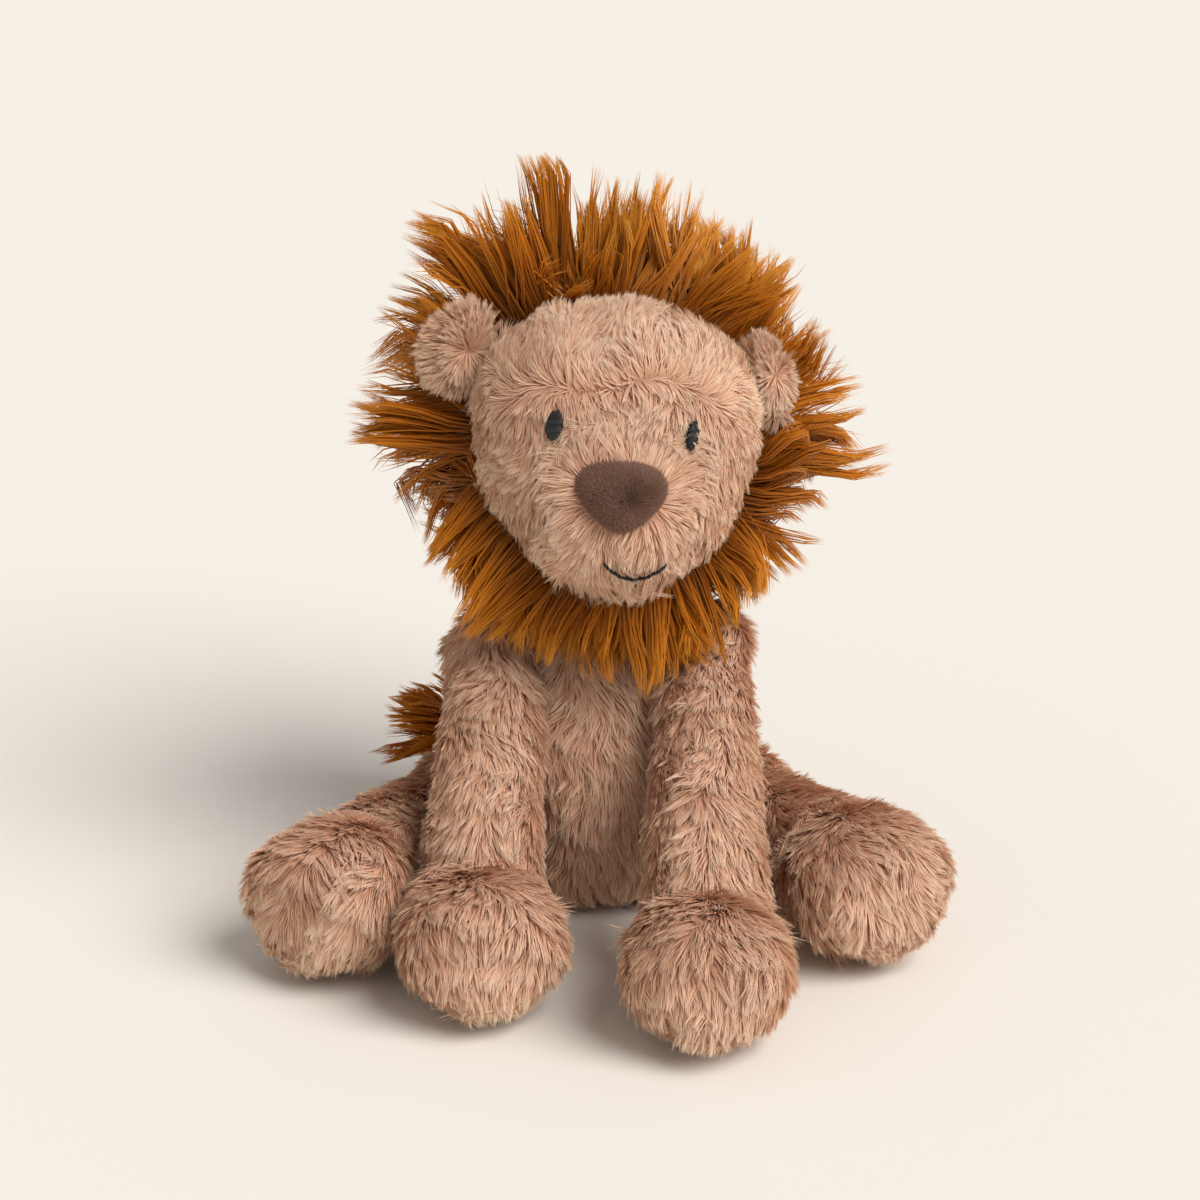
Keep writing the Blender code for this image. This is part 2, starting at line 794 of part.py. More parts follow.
for hand_name, hand in hands.items():
    stride = front_stride_left if hand > 0 else front_stride_right
    shoulder = mirrored(shoulder_centre, hand)
    foot = Vector((hand * front_foot_spread + front_feet_aside, -stride, front_foot_height / 2))
    ankle_back = front_foot_length * ankle_back_share
    ankle_up = front_foot_height * (ankle_height_share - 1 / 2)
    ankle = foot - ahead * ankle_back + up * ankle_up
    make_leg(
        f"front_leg_{hand_name}",
        {
            "top": shoulder,
            "end": ankle,
            "bow": -ahead * (shoulder - ankle).length * shank_bow_share,
            "rings": shank_ring_shares,
            "radius": shank_radius,
            "axis": aside,
            "lift": front_lift_degrees,
            "lift_axis": -aside,
            "inward": -mirrored(bearing(shoulder_bearing_degrees), hand),
            "ball": shoulder_radius,
            "foot": foot,
            "way": ahead,
            "size": (front_foot_length, front_foot_width, front_foot_height),
        },
    )
    hip = mirrored(hip_centre, hand)
    foot = hind_feet[hand_name]
    make_leg(
        f"hind_leg_{hand_name}",
        {
            "top": hip,
            "end": hip.lerp(foot, thigh_way_share),
            "bow": Vector((0, 0, 0)),
            "rings": thigh_ring_shares,
            "radius": thigh_radius,
            "axis": hip_axes[hand_name],
            "lift": hind_lift_degrees,
            "lift_axis": hip_axes[hand_name],
            "inward": -mirrored(bearing(hip_bearing_degrees), hand),
            "ball": hip_radius,
            "foot": foot,
            "way": (foot - hip).normalized(),
            "size": (hind_foot_length, hind_foot_width, hind_foot_height),
        },
    )

# Tail: round the toy's right side, with a tuft at its end
tail_joint = joint("tail_joint", tail_root)
tail_tip = tail_root + Vector((-tail_reach, tail_back, tail_rise))
tail_bend = Vector((0, tail_back, -tail_rise / 2)) * tail_bend_share
tail = soft_form(
    "tail_tube",
    [
        (
            tail_root.lerp(tail_tip, way) + tail_bend * math.sin(math.pi * way),
            tail_radius,
            tail_radius,
        )
        for way in tail_ring_shares
    ],
    up,
    (tail_root, tail_tip),
    inner_sides,
)


def tuft_form(name, grow):
    return soft_form(
        name,
        [
            (tail_tip - aside * tuft_length * way, tuft_depth / 2 * full, tuft_height / 2 * full)
            for way, full in tuft_ring_shares
        ],
        -ahead,
        (tail_tip + aside * tuft_length / 2, tail_tip - aside * tuft_length / 2),
        plain_sides,
        grow,
    )


less(tail, torso_clear)
plus(tail, ball("tail_ball", tail_root, tail_root_radius, up))
less(tail, tuft_form("tuft_clear", fit_gap), below_floor)
keep(tail, "tail", plush, tail_joint)
tuft = tuft_form("tail_tuft", 0)
keep(tuft, "tail_tuft", long_pile, tail_joint)

# Closing seam: thread that steps from side to side up the back of the torso
seam_points = []
seam_start = torso_height * seam_place_share - seam_length / 2
for rung in range(seam_stitches + 1):
    rise = seam_start + seam_length * rung / seam_stitches
    for far in (-1, 0, 1) if rung % 2 == 0 else (1, 0, -1):
        start = Vector((far * seam_width / 2, torso_depth, rise))
        place, outward = surface_hit(torso_skin, start, ahead)
        seam_points.append(place + outward * (thread_radius + fit_gap))
sewn_thread("closing_seam", seam_points)
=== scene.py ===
# %% [markdown]
# # A seated plush lion
# The toy is sewn from short-pile plush with a long-pile mane. Its pieces are stuffed skins with a
# coat of real strands, because the coat gives the toy its outline and its shading. The packed
# model is loaded first. It is the fixed frame that every piece is placed in.

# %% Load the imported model
import math

import bpy
import numpy as np
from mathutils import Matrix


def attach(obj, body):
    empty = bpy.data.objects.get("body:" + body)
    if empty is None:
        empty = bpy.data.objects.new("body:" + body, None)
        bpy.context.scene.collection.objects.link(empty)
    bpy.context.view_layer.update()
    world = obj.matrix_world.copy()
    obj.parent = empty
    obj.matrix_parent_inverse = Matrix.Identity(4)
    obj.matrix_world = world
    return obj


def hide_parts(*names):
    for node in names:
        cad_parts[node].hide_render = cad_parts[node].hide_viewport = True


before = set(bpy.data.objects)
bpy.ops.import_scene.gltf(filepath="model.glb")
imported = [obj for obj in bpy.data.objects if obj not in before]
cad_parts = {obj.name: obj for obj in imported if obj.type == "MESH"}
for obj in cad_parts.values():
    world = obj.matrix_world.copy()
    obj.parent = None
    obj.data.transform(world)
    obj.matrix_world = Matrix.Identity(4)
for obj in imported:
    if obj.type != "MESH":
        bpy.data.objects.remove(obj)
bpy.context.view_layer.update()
MM = 0.001

# %% [markdown]
# ## Camera
# The photograph looks straight at the toy from 20 degrees above, from a good arm's length away.
# A longer lens keeps the paws from growing large.

# %% Camera
CAMERA_TARGET = np.array([0.0, -20.0, 100.25])
CAMERA_DISTANCE = 801.0
CAMERA_RISE = math.radians(20)
CAMERA_LENS, CAMERA_SENSOR = 75, 36
FAR_CLIP_METRES = 50
camera = bpy.data.objects.new("camera", bpy.data.cameras.new("camera"))
bpy.context.scene.collection.objects.link(camera)
camera_place = CAMERA_TARGET + CAMERA_DISTANCE * np.array(
    [0, -math.cos(CAMERA_RISE), math.sin(CAMERA_RISE)]
)
camera.location = camera_place * MM
camera.rotation_euler = (math.pi / 2 - CAMERA_RISE, 0, 0)
camera.data.lens = CAMERA_LENS
camera.data.sensor_width = CAMERA_SENSOR
camera.data.clip_end = FAR_CLIP_METRES
bpy.context.scene.camera = camera
bpy.context.scene.view_settings.view_transform = "Standard"
print("camera at", camera_place.round(1), "mm")

# %% [markdown]
# ## Shader maths in Python
# A material is easier to read as an expression than as a web of nodes. One class stands for a
# socket and adds the Math nodes of an expression. Another adds any node to a tree, and a third
# holds a material, which is a tree with a Principled shader.


# %% Sockets, trees and finishes
class Wire:
    """A shader socket that Python can calculate with. Each operator adds one Math node."""

    def __init__(self, nodes, socket):
        self.nodes = nodes
        self.socket = socket

    def maths(self, operation, other):
        return self.nodes.node("ShaderNodeMath", {"operation": operation}, {0: self, 1: other})

    def __add__(self, other):
        return self.maths("ADD", other)

    def __mul__(self, other):
        return self.maths("MULTIPLY", other)

    __radd__ = __add__
    __rmul__ = __mul__


class Nodes:
    """A node tree, and the ways in which nodes are added to it."""

    def __init__(self, tree):
        self.tree = tree

    def node(self, kind, settings, inputs, output=0):
        """Adds a node, sets its settings and ramp stops first, and then its sockets."""
        made = self.tree.nodes.new(kind)
        for key, value in settings.items():
            if key == "stops":
                self.set_stops(made.color_ramp, value)
            else:
                setattr(made, key, value)
        for key, value in inputs.items():
            if isinstance(value, Wire):
                self.tree.links.new(value.socket, made.inputs[key])
            else:
                made.inputs[key].default_value = value
        return Wire(self, made.outputs[output])

    def set_stops(self, ramp, stops):
        """A ramp's stops, each a place from 0 to 1 and a colour."""
        while len(ramp.elements) < len(stops):
            ramp.elements.new(1)
        for element, (place, colour) in zip(ramp.elements, stops):
            element.position = place
            element.color = (*colour, 1)

    def ramp(self, value, stops):
        return self.node("ShaderNodeValToRGB", {"stops": stops}, {0: value})

    def mix(self, factor, first, second, blend="MIX"):
        """A mix of two colours, whose sockets on the Mix node are 6 and 7, and 2 its result."""
        settings = {"data_type": "RGBA", "blend_type": blend}
        return self.node("ShaderNodeMix", settings, {0: factor, 6: first, 7: second}, 2)

    def noise(self, scale, detail, roughness=0.5):
        """Noise over the piece, in Object coordinates, with a scale per metre."""
        where = self.node("ShaderNodeTexCoord", {}, {}, "Object")
        sockets = {"Vector": where, "Scale": scale, "Detail": detail, "Roughness": roughness}
        return self.node("ShaderNodeTexNoise", {}, sockets)

    def tone_and_way(self):
        """The two values of a strand's place on its piece's map: its tone and the way along it."""
        place = self.node("ShaderNodeUVMap", {"uv_map": "OFBake"}, {})
        return (self.node("ShaderNodeSeparateXYZ", {}, {0: place}, axis) for axis in ("X", "Y"))


class Finish(Nodes):
    """A procedural material: a Principled shader and the nodes that feed it."""

    def __init__(self, name, **constants):
        self.material = bpy.data.materials.new(name)
        self.material.use_nodes = True
        super().__init__(self.material.node_tree)
        self.shader = self.tree.nodes["Principled BSDF"]
        for socket, value in constants.items():
            self.shader.inputs[socket.replace("_", " ")].default_value = value

    def feed(self, **sockets):
        for name, value in sockets.items():
            self.tree.links.new(value.socket, self.shader.inputs[name.replace("_", " ")])

    def bump(self, height, distance):
        """Feeds the shader's Normal from a height, with a distance in metres."""
        self.feed(Normal=self.node("ShaderNodeBump", {}, {"Height": height, "Distance": distance}))


def linear(red, green, blue):
    """A colour as seen on screen, 0 to 255, as the linear values that shaders use."""
    seen = np.array([red, green, blue]) / 255
    low, high = seen / 12.92, ((seen + 0.055) / 1.055) ** 2.4
    return tuple(float(x) for x in np.where(seen < 0.04045, low, high))


print("mid grey on screen is", round(linear(128, 128, 128)[0], 3), "in a shader")

# %% [markdown]
# ## Stage and light
# A plain cream floor runs out of the picture. The light is a white dome and one very soft sun
# from the viewer's right, which throws the soft shadow to the left. The two add up to about 1 on
# the floor, so colours render as they are written. Where the camera or a shine sees the dome, it
# is cream at full strength.

# %% Floor and light
CREAM = linear(247, 240, 230)
SKY_SHARE = 0.38
FLOOR_SIZE = 14.0
KEY_RISE = math.radians(46)
KEY_FROM = math.radians(36)
KEY_SPREAD = math.radians(42)
floor_mesh = bpy.data.meshes.new("floor")
floor_corners = FLOOR_SIZE / 2 * np.array([[-1, -1, 0], [1, -1, 0], [1, 1, 0], [-1, 1, 0]])
floor_mesh.from_pydata(floor_corners.tolist(), [], [(0, 1, 2, 3)])
floor = bpy.data.objects.new("floor", floor_mesh)
bpy.context.scene.collection.objects.link(floor)
paper = Finish("cream_floor", Roughness=1.0, Specular_IOR_Level=0.0)
paper.shader.inputs["Base Color"].default_value = (*CREAM, 1)
floor_mesh.materials.append(paper.material)

world = bpy.data.worlds.new("dome")
bpy.context.scene.world = world
world.use_nodes = True
dome = Nodes(world.node_tree)
camera_ray, glossy_ray, clear_ray = (
    dome.node("ShaderNodeLightPath", {}, {}, f"Is {kind} Ray")
    for kind in ("Camera", "Glossy", "Transmission")
)
seen = camera_ray + glossy_ray + clear_ray
colour = dome.mix(seen, (1, 1, 1, 1), (*CREAM, 1))
strength = SKY_SHARE + (1 - SKY_SHARE) * seen
sky = dome.node("ShaderNodeBackground", {}, {0: colour, 1: strength})
dome.tree.links.new(sky.socket, dome.tree.nodes["World Output"].inputs[0])

key = bpy.data.objects.new("key", bpy.data.lights.new("key", "SUN"))
bpy.context.scene.collection.objects.link(key)
key.data.energy = math.pi * (1 - SKY_SHARE) / math.sin(KEY_RISE)
key.data.angle = KEY_SPREAD
key.rotation_euler = (0, math.pi / 2 - KEY_RISE, -KEY_FROM)
print("sun", round(key.data.energy, 2), "dome", SKY_SHARE)

# %% [markdown]
# ## Meshes from arrays
# Every piece is worked out with numpy, in millimetres, and written into a mesh in one go.


# %% Arrays into meshes
def unit(vectors):
    """Each vector divided by its length."""
    return vectors / np.maximum(np.linalg.norm(vectors, axis=-1, keepdims=True), 1e-12)


def add_piece(name, points, faces, body, finishes, uv=None, smooth=True):
    """A mesh from points in mm and a list of face arrays, one array for each face size.

    uv gives each point a place on the piece's own map. Thin strands are lit flat, not smooth.
    """
    mesh = bpy.data.meshes.new(name)
    corner = np.concatenate([f.ravel() for f in faces]).astype(np.int32)
    sizes = np.concatenate([np.full(len(f), f.shape[1]) for f in faces]).astype(np.int32)
    starts = np.concatenate([[0], np.cumsum(sizes)[:-1]]).astype(np.int32)
    mesh.vertices.add(len(points))
    mesh.vertices.foreach_set("co", (points * MM).astype(np.float32).ravel())
    mesh.loops.add(len(corner))
    mesh.loops.foreach_set("vertex_index", corner)
    mesh.polygons.add(len(sizes))
    mesh.polygons.foreach_set("loop_start", starts)
    mesh.update(calc_edges=True)
    if smooth:
        mesh.shade_smooth()
    else:
        mesh.shade_flat()
    if uv is not None:
        layer = mesh.uv_layers.new(name="OFBake")
        layer.uv.foreach_set("vector", uv[corner].astype(np.float32).ravel())
    piece = bpy.data.objects.new(name, mesh)
    bpy.context.scene.collection.objects.link(piece)
    for finish in finishes:
        mesh.materials.append(finish.material)
    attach(piece, body)
    print(name, int((sizes - 2).sum()), "triangles")
    return piece


def grid_faces(rows, columns):
    """Faces of a closed form: rings of points from tip to tip, and one point at each tip.

    The points are the first tip, the rings row by row, and the last tip.
    """
    at = 1 + np.arange(rows * columns).reshape(rows, columns)
    after = np.roll(at, -1, 1)
    quads = np.stack([at[:-1], after[:-1], after[1:], at[1:]], -1).reshape(-1, 4)
    last = rows * columns + 1
    first_fan = np.stack([np.zeros(columns, int), after[0], at[0]], -1)
    last_fan = np.stack([np.full(columns, last), at[-1], after[-1]], -1)
    return [quads, np.vstack([first_fan, last_fan])]


# %% [markdown]
# ## Stuffed forms
# A stuffed limb is a profile carried along a path. Its rings are listed. Between them the
# size is a sum of sine waves, which vanish at both tips, and the path is a sum of cosine waves,
# which stand still there. That makes a smooth form with round tips.


# %% Forms along a path
def stuffed(rings, tips, side, rows=90, columns=72):
    """Points of a form, (rows + 1) x columns x 3, through rings (x, y, z, across, rise).

    The size is a sum of sines of the way and the middle a sum of cosines, solved so that each
    ring is met. side points across. Corners go round the middle by cosine and sine.
    """
    rings, tips = np.array(rings, float), np.array(tips, float)
    count = len(rings)
    order = np.arange(count + 2)
    knots = order * np.pi / (count + 1)
    centres = np.vstack([tips[:1], rings[:, :3], tips[1:]])
    path_waves = np.linalg.solve(np.cos(np.outer(knots, order)), centres)
    size_waves = np.linalg.solve(np.sin(np.outer(knots[1:-1], order[1:-1])), rings[:, 3:])
    way = np.linspace(0, np.pi, rows + 1)
    middle = np.cos(np.outer(way, order)) @ path_waves
    across, rise = (np.sin(np.outer(way, order[1:-1])) @ size_waves).T
    heading = np.gradient(middle, axis=0)
    heading[0], heading[-1] = heading[1], heading[-2]
    heading = unit(heading)
    side = unit(np.array(side, float) - heading * (heading @ np.array(side, float))[:, None])
    lift = np.cross(heading, side)
    turn = np.arange(columns) * 2 * np.pi / columns
    return (
        middle[:, None]
        + side[:, None] * (across[:, None] * np.cos(turn))[..., None]
        + lift[:, None] * (rise[:, None] * np.sin(turn))[..., None]
    )


def outward(grid):
    """Unit normals of a grid of points: its slopes along and around, crossed."""
    along = np.gradient(grid, axis=0)
    around = np.roll(grid, -1, 1) - np.roll(grid, 1, 1)
    normals = np.cross(around, along)
    for tip, inner in ((0, 1), (-1, -2)):
        normals[tip] = normals[inner].mean(0)
    return unit(normals)


def closed(grid):
    """A grid's points as a closed form: one point for each tip, and the rings between."""
    return np.vstack([grid[0].mean(0), grid[1:-1].reshape(-1, 3), grid[-1].mean(0)])


def smoothstep(low, high, value):
    """0 below low, 1 above high, and a smooth rise between."""
    share = np.clip((value - low) / (high - low), 0, 1)
    return share * share * (3 - 2 * share)


def ripple(points, rng, length, waves=5):
    """A smooth random value from about -1 to 1: a sum of sine waves of about one length."""
    directions = unit(rng.normal(size=(waves, 3))) * 2 * np.pi / length
    directions = directions * rng.uniform(0.7, 1.4, (waves, 1))
    phases = rng.uniform(0, 2 * np.pi, waves)
    return np.sin(points @ directions.T + phases).sum(-1) / math.sqrt(waves)


SKIN_INSET = 2.6
SOLE_HEIGHT = 1.3
LUMP_HEIGHT, LUMP_SIZE = 0.6, 26


def skin_of(grid, inset=SKIN_INSET, seed=1):
    """The cloth under a coat: the form shrunk by the pile's height, and flat where it stands.

    Filling is never even, so broad sine ripples move the cloth in and out by part of a mm.
    """
    rng = np.random.default_rng(seed)
    lumps = LUMP_HEIGHT * ripple(grid.reshape(-1, 3), rng, LUMP_SIZE).reshape(grid.shape[:2])
    shrunk = grid - outward(grid) * (inset + lumps)[..., None]
    shrunk[..., 2] = np.maximum(shrunk[..., 2], SOLE_HEIGHT)
    return shrunk


def dent(grid, centre, radius, inward):
    """Pushes points that lie in a ball along inward, out of its far side."""
    inward = unit(np.array(inward, float))
    offset = grid - np.array(centre, float)
    depth = offset @ inward
    beside = (offset**2).sum(-1) - depth**2
    exit_depth = np.sqrt(np.maximum(radius**2 - beside, 0))
    inside = (beside < radius**2) & (depth > -exit_depth) & (depth < exit_depth)
    return grid + inward * np.where(inside, exit_depth - depth, 0)[..., None]


print("a skin lies", SKIN_INSET, "mm inside its form")

# %% [markdown]
# ## A coat of strands
# Pile is thousands of fibres that lean one way and cling together in tufts. A hair system would
# be lost in an export, so each strand here is a slim closed tube. Its root lies on the skin. Roots
# are spread evenly by area, and a strand belongs to the tuft whose middle is nearest.


# %% Roots and tufts
def roots_on(grid, count, rng, weight=None):
    """Random places on a grid, as many per area everywhere, times a weight per point."""
    ahead = np.roll(grid, -1, 1)
    across = ahead[:-1] - grid[:-1]
    down = grid[1:] - grid[:-1]
    area = np.linalg.norm(np.cross(across, down), axis=-1)
    if weight is not None:
        area = area * (weight[:-1] + weight[1:]) / 2
    total = np.cumsum(area.ravel())
    pick = (np.arange(count) + rng.random(count)) / count * total[-1]
    cell = np.minimum(np.searchsorted(total, pick), area.size - 1)
    row, column = np.divmod(cell, grid.shape[1])
    after = (column + 1) % grid.shape[1]
    u, v = rng.random((2, count, 1))

    def between(values):
        upper = values[row, column] * (1 - u) + values[row, after] * u
        lower = values[row + 1, column] * (1 - u) + values[row + 1, after] * u
        return upper * (1 - v) + lower * v

    return between(grid), unit(between(outward(grid)))


def nearest(points, centres, batch=4000):
    """The number of the nearest centre to each point, from squared distances."""
    found = []
    for start in range(0, len(points), batch):
        some = points[start : start + batch]
        gap = (centres**2).sum(1) - 2 * some @ centres.T
        found.append(gap.argmin(1))
    return np.concatenate(found)


# %% [markdown]
# ### Curves and tubes
# A strand's curve leaves the skin at the lift of the pile, follows the comb, and leans towards the
# middle of its tuft. Three flat sides round the curve are enough, lit flat, with one of them
# turned outwards, so that a coat shades as evenly as cloth. The strand keeps its tone and its way
# from root to tip on the piece's own map, so one material can colour them all.


# %% Curves and tubes
ROUNDNESS = 30.0


def strand_lines(roots, normals, comb, length, lift, knots):
    """Curves that leave the skin at one angle and end at another, in equal steps.

    lift holds each strand's angles at its root and its tip. comb is made level with the skin.
    Strands follow a form as round as a ball of radius R: they drop by way squared over 2 R.
    """
    level = unit(comb - normals * (comb * normals).sum(-1, keepdims=True))
    share = np.linspace(0, 1, knots)[:-1] + 0.5 / (knots - 1)
    angle = lift[:, :1] * (1 - share) + lift[:, 1:] * share
    step = level[:, None] * np.cos(angle)[..., None] + normals[:, None] * np.sin(angle)[..., None]
    way = np.cumsum(step * (length / (knots - 1))[:, None, None], axis=1)
    drop = (length[:, None] * np.linspace(0, 1, knots)[1:]) ** 2 / (2 * ROUNDNESS)
    way = way - normals[:, None] * drop[..., None]
    return np.concatenate([roots[:, None], roots[:, None] + way], axis=1)


def gathered(lines, tuft, centre, pinch, power=1.5):
    """Leans strands towards the middle strand of their tuft, more and more towards the tip."""
    share = np.linspace(0, 1, lines.shape[1])[None, :, None] ** power
    target = lines[centre][tuft]
    return lines + (target - lines) * share * pinch


def tubes(lines, radius, taper, tone, facing, end=1.0):
    """Three-sided tubes round lines of points, closed at the root and pointed at the tip.

    Each ring's corners lie a third of a turn apart round the line's heading, one of them turned
    away from facing, so that a flat side looks outwards. Returns points, faces and each point's
    place on the map, which is the strand's tone and the way along it up to end.
    """
    count, knots, _ = lines.shape
    heading = unit(np.gradient(lines, axis=1))
    rise = unit(np.cross(heading, -facing[:, None]))
    across = np.cross(rise, heading)
    turn = np.arange(3) * 2 * np.pi / 3
    size = radius[:, None] * np.array(taper)[None, : knots - 1]
    ring = (
        across[:, :-1, None] * np.cos(turn)[:, None] + rise[:, :-1, None] * np.sin(turn)[:, None]
    )
    rings = lines[:, :-1, None] + ring * size[..., None, None]
    points = np.concatenate([rings.reshape(count, -1, 3), lines[:, -1:]], axis=1)
    each = points.shape[1]
    base = (np.arange(count) * each)[:, None, None]
    here = 3 * np.arange(knots - 2)[:, None] + np.arange(3)
    there = 3 * np.arange(knots - 2)[:, None] + np.roll(np.arange(3), -1)
    last = 3 * (knots - 2)
    walls = np.stack([here, there, there + 3, here + 3], -1).reshape(1, last, 4)
    end_ring = last + np.arange(3)
    tip = np.stack([end_ring, np.roll(end_ring, -1), np.full(3, each - 1)], -1)
    caps = np.vstack([tip, [[2, 1, 0]]])[None]
    way = np.append(np.repeat(np.linspace(0, end, knots)[:-1], 3), end)
    uv = np.stack(np.broadcast_arrays(tone[:, None], way[None]), -1).reshape(-1, 2)
    faces = [(walls + base).reshape(-1, 4), (caps + base).reshape(-1, 3)]
    return points.reshape(-1, 3), faces, uv


def joined(parts):
    """Several sets of strands as one."""
    starts = np.cumsum([0] + [len(part[0]) for part in parts])
    points, uv = (np.vstack([part[k] for part in parts]) for k in (0, 2))
    faces = [
        np.vstack([part[1][size] + start for part, start in zip(parts, starts)]) for size in (0, 1)
    ]
    return points, faces, uv


def as_tone(values):
    """Tones kept inside the map, whose edges would bleed."""
    return np.clip(values, 0.02, 0.98)


# %% [markdown]
# ### A short-pile coat
# The coat has two layers. A long one shows: its strands cling in small tufts and end in rows that
# overlap as shingles do, the top strands of a row long and flat and the bottom ones short and
# raised. Their tone carries painted light on the raised ends and painted shade on the row's top.
# A short one fills the skin below. Broad ripples turn the comb, bend the rows and shift the tone,
# because real plush is stroked by hands. Where a strand would cross an eye, the nose or the mouth
# it is cut short, but for one in ten.

# %% Short pile
# Sizes are in mm, turns in radians and lifts in degrees.
FLOOR_CLEAR = 0.35
STRAND_RADIUS = 0.27
UNDER_RADIUS = 1.5 * STRAND_RADIUS
TUFT_STRANDS, TUFT_PINCH = 8, 0.7
SWIRL_TURN, SWIRL_SIZE = 0.5, 24
ROW_HEIGHT, ROW_WANDER, ROW_WANDER_SIZE = 7.0, 2.4, 26
RAISED_SIZE, TONE_SIZE = 15, 45
UPRIGHT_LIFT = 75
SHORTEST = 3
STRAYS = 0.10


def shortened(lines, taken):
    """Scales each strand to the longest of a few lengths at which no point of it is taken."""
    best = np.full(len(lines), 0.22)
    for share in (0.4, 0.6, 0.8, 1.0):
        place = lines[:, :1] + (lines[:, 1:] - lines[:, :1]) * share
        best = np.where(taken(place).any(1), best, share)
    return lines[:, :1] + (lines - lines[:, :1]) * best[:, None, None]


def pile(
    grid,
    comb_of,
    counts,
    seed,
    length=10.0,
    weight=None,
    lift=23,
    rows=0.9,
    row_of=None,
    taken=None,
    shape_of=None,
):
    """A short-pile coat on a grid, combed by comb_of(points, normals), in two layers.

    counts holds the strands of the long layer, which cling in tufts, and of the short layer
    below. The lift off the skin is in degrees. row_of(points) is a distance down the coat:
    strands of one row end near one line, and rows is how far they differ. taken(points) says
    which places stay clear. shape_of(points) is how much longer strands are there, as a factor,
    and how upright they stand, from 0 to 1.
    """
    rng = np.random.default_rng(seed)
    count = counts[0]
    roots, normals = roots_on(grid, count, rng, weight)
    centre = rng.permutation(count)[: max(1, count // TUFT_STRANDS)]
    tuft = nearest(roots, roots[centre])
    per_tuft = rng.normal(size=(3, len(centre)))
    each = per_tuft[:, tuft]
    swirl_waves, tone_waves = rng.integers(1, 9999, 2)

    def combed(points, normals, extra):
        """The comb made level with the skin and turned by a broad swirl and an extra angle."""
        comb = comb_of(points, normals)
        level = unit(comb - normals * (comb * normals).sum(-1, keepdims=True))
        swirl = ripple(points, np.random.default_rng(swirl_waves), SWIRL_SIZE)
        turn = SWIRL_TURN * swirl + extra
        return level * np.cos(turn)[:, None] + np.cross(normals, level) * np.sin(turn)[:, None]

    comb = combed(roots, normals, 0.24 * each[0] + 0.05 * rng.normal(size=count))
    in_row = np.full(count, 0.5)
    if row_of is not None:
        in_row = row_of(roots) + ROW_WANDER * ripple(roots, rng, ROW_WANDER_SIZE) + 0.5 * each[1]
        in_row = (in_row / ROW_HEIGHT) % 1
    longer, upright = shape_of(roots) if shape_of else (np.ones(count), np.zeros(count))
    raised = np.clip(0.45 * ripple(roots, rng, RAISED_SIZE) + 0.5 * each[1], -1.5, 2.2)
    raised = raised + rows * (3 * in_row - 1.5)
    angles = lift + 7 * raised + 2.5 * rng.normal(size=count)
    angles = np.radians(angles + (UPRIGHT_LIFT - angles) * upright)[:, None] * np.ones(2)
    long = length * longer * (1 + 0.07 * each[2] + 0.05 * rng.normal(size=count))
    long = np.maximum(long * (1 + min(rows, 1) * (0.30 - 0.60 * in_row)), SHORTEST)
    lines = strand_lines(roots, normals, comb, long, angles, 2)
    lines = gathered(lines, tuft, centre, TUFT_PINCH * rng.uniform(0.5, 1.0, (count, 1, 1)))

    under_roots, under_normals = roots_on(grid, counts[1], rng, weight)
    member = nearest(under_roots, roots[centre])
    lean, rise = (each_tuft[member] for each_tuft in per_tuft[:2])
    comb = combed(under_roots, under_normals, 0.24 * lean + 0.10 * rng.normal(size=counts[1]))
    angles = np.radians(lift + 3 + 4 * rise + rng.normal(0, 3, (2, counts[1]))).T
    short = length * rng.uniform(0.5, 0.75, counts[1])
    under = strand_lines(under_roots, under_normals, comb, short, angles, 2)

    layers = []
    # The long strands' tone is paler at a row's raised ends and darker at its top: painted light
    # and painted shade on the shingles.
    for strands, radius, end, facing, ledge_light_and_shade in (
        (lines, STRAND_RADIUS, 1.0, normals, rows * 0.3 * (in_row - 0.5)),
        (under, UNDER_RADIUS, 0.62, under_normals, 0),
    ):
        many = len(strands)
        if taken is not None:
            stray = rng.random(many) < STRAYS
            strands = np.where(stray[:, None, None], strands, shortened(strands, taken))
        strands[..., 2] = np.maximum(strands[..., 2], FLOOR_CLEAR + STRAND_RADIUS)
        tone = 0.5 + 0.15 * ripple(strands[:, 0], np.random.default_rng(tone_waves), TONE_SIZE)
        tone = tone + ledge_light_and_shade + 0.06 * rng.normal(size=many)
        radii = radius * rng.uniform(0.8, 1.2, many)
        layers.append(tubes(strands, radii, (1.0,), as_tone(tone), facing, end))
    return joined(layers)


print("a short-pile strand is", 2 * STRAND_RADIUS, "mm thick and has", 2 * 2, "faces")


# %% [markdown]
# ## Finishes
# The coat is pinkish tan, darker at the root and paler at the tip, partly its own two tones and
# partly painted shade deep in the pile. It is so dull that it has no shine at all. The mane is
# ginger with dark roots and gold ends, partly its own colour and partly painted shade at the roots
# and a painted highlight at the ends, and its longer fibres shine a little. Under the pile the
# cloth is a knit that hardly shows.


# %% Coat and mane finishes
def strand_finish(name, root_to_tip, tones, **constants):
    """A finish for strands: a ramp from root to tip, tinted by each strand's tone. Both can hold
    painted light and shade as well as the fibres' own colours.
    """
    made = Finish(name, **constants)
    tone, way = made.tone_and_way()
    coloured = made.ramp(way, root_to_tip)
    tint = made.ramp(tone, tones)
    made.feed(Base_Color=made.mix(1.0, coloured, tint, "MULTIPLY"))
    return made
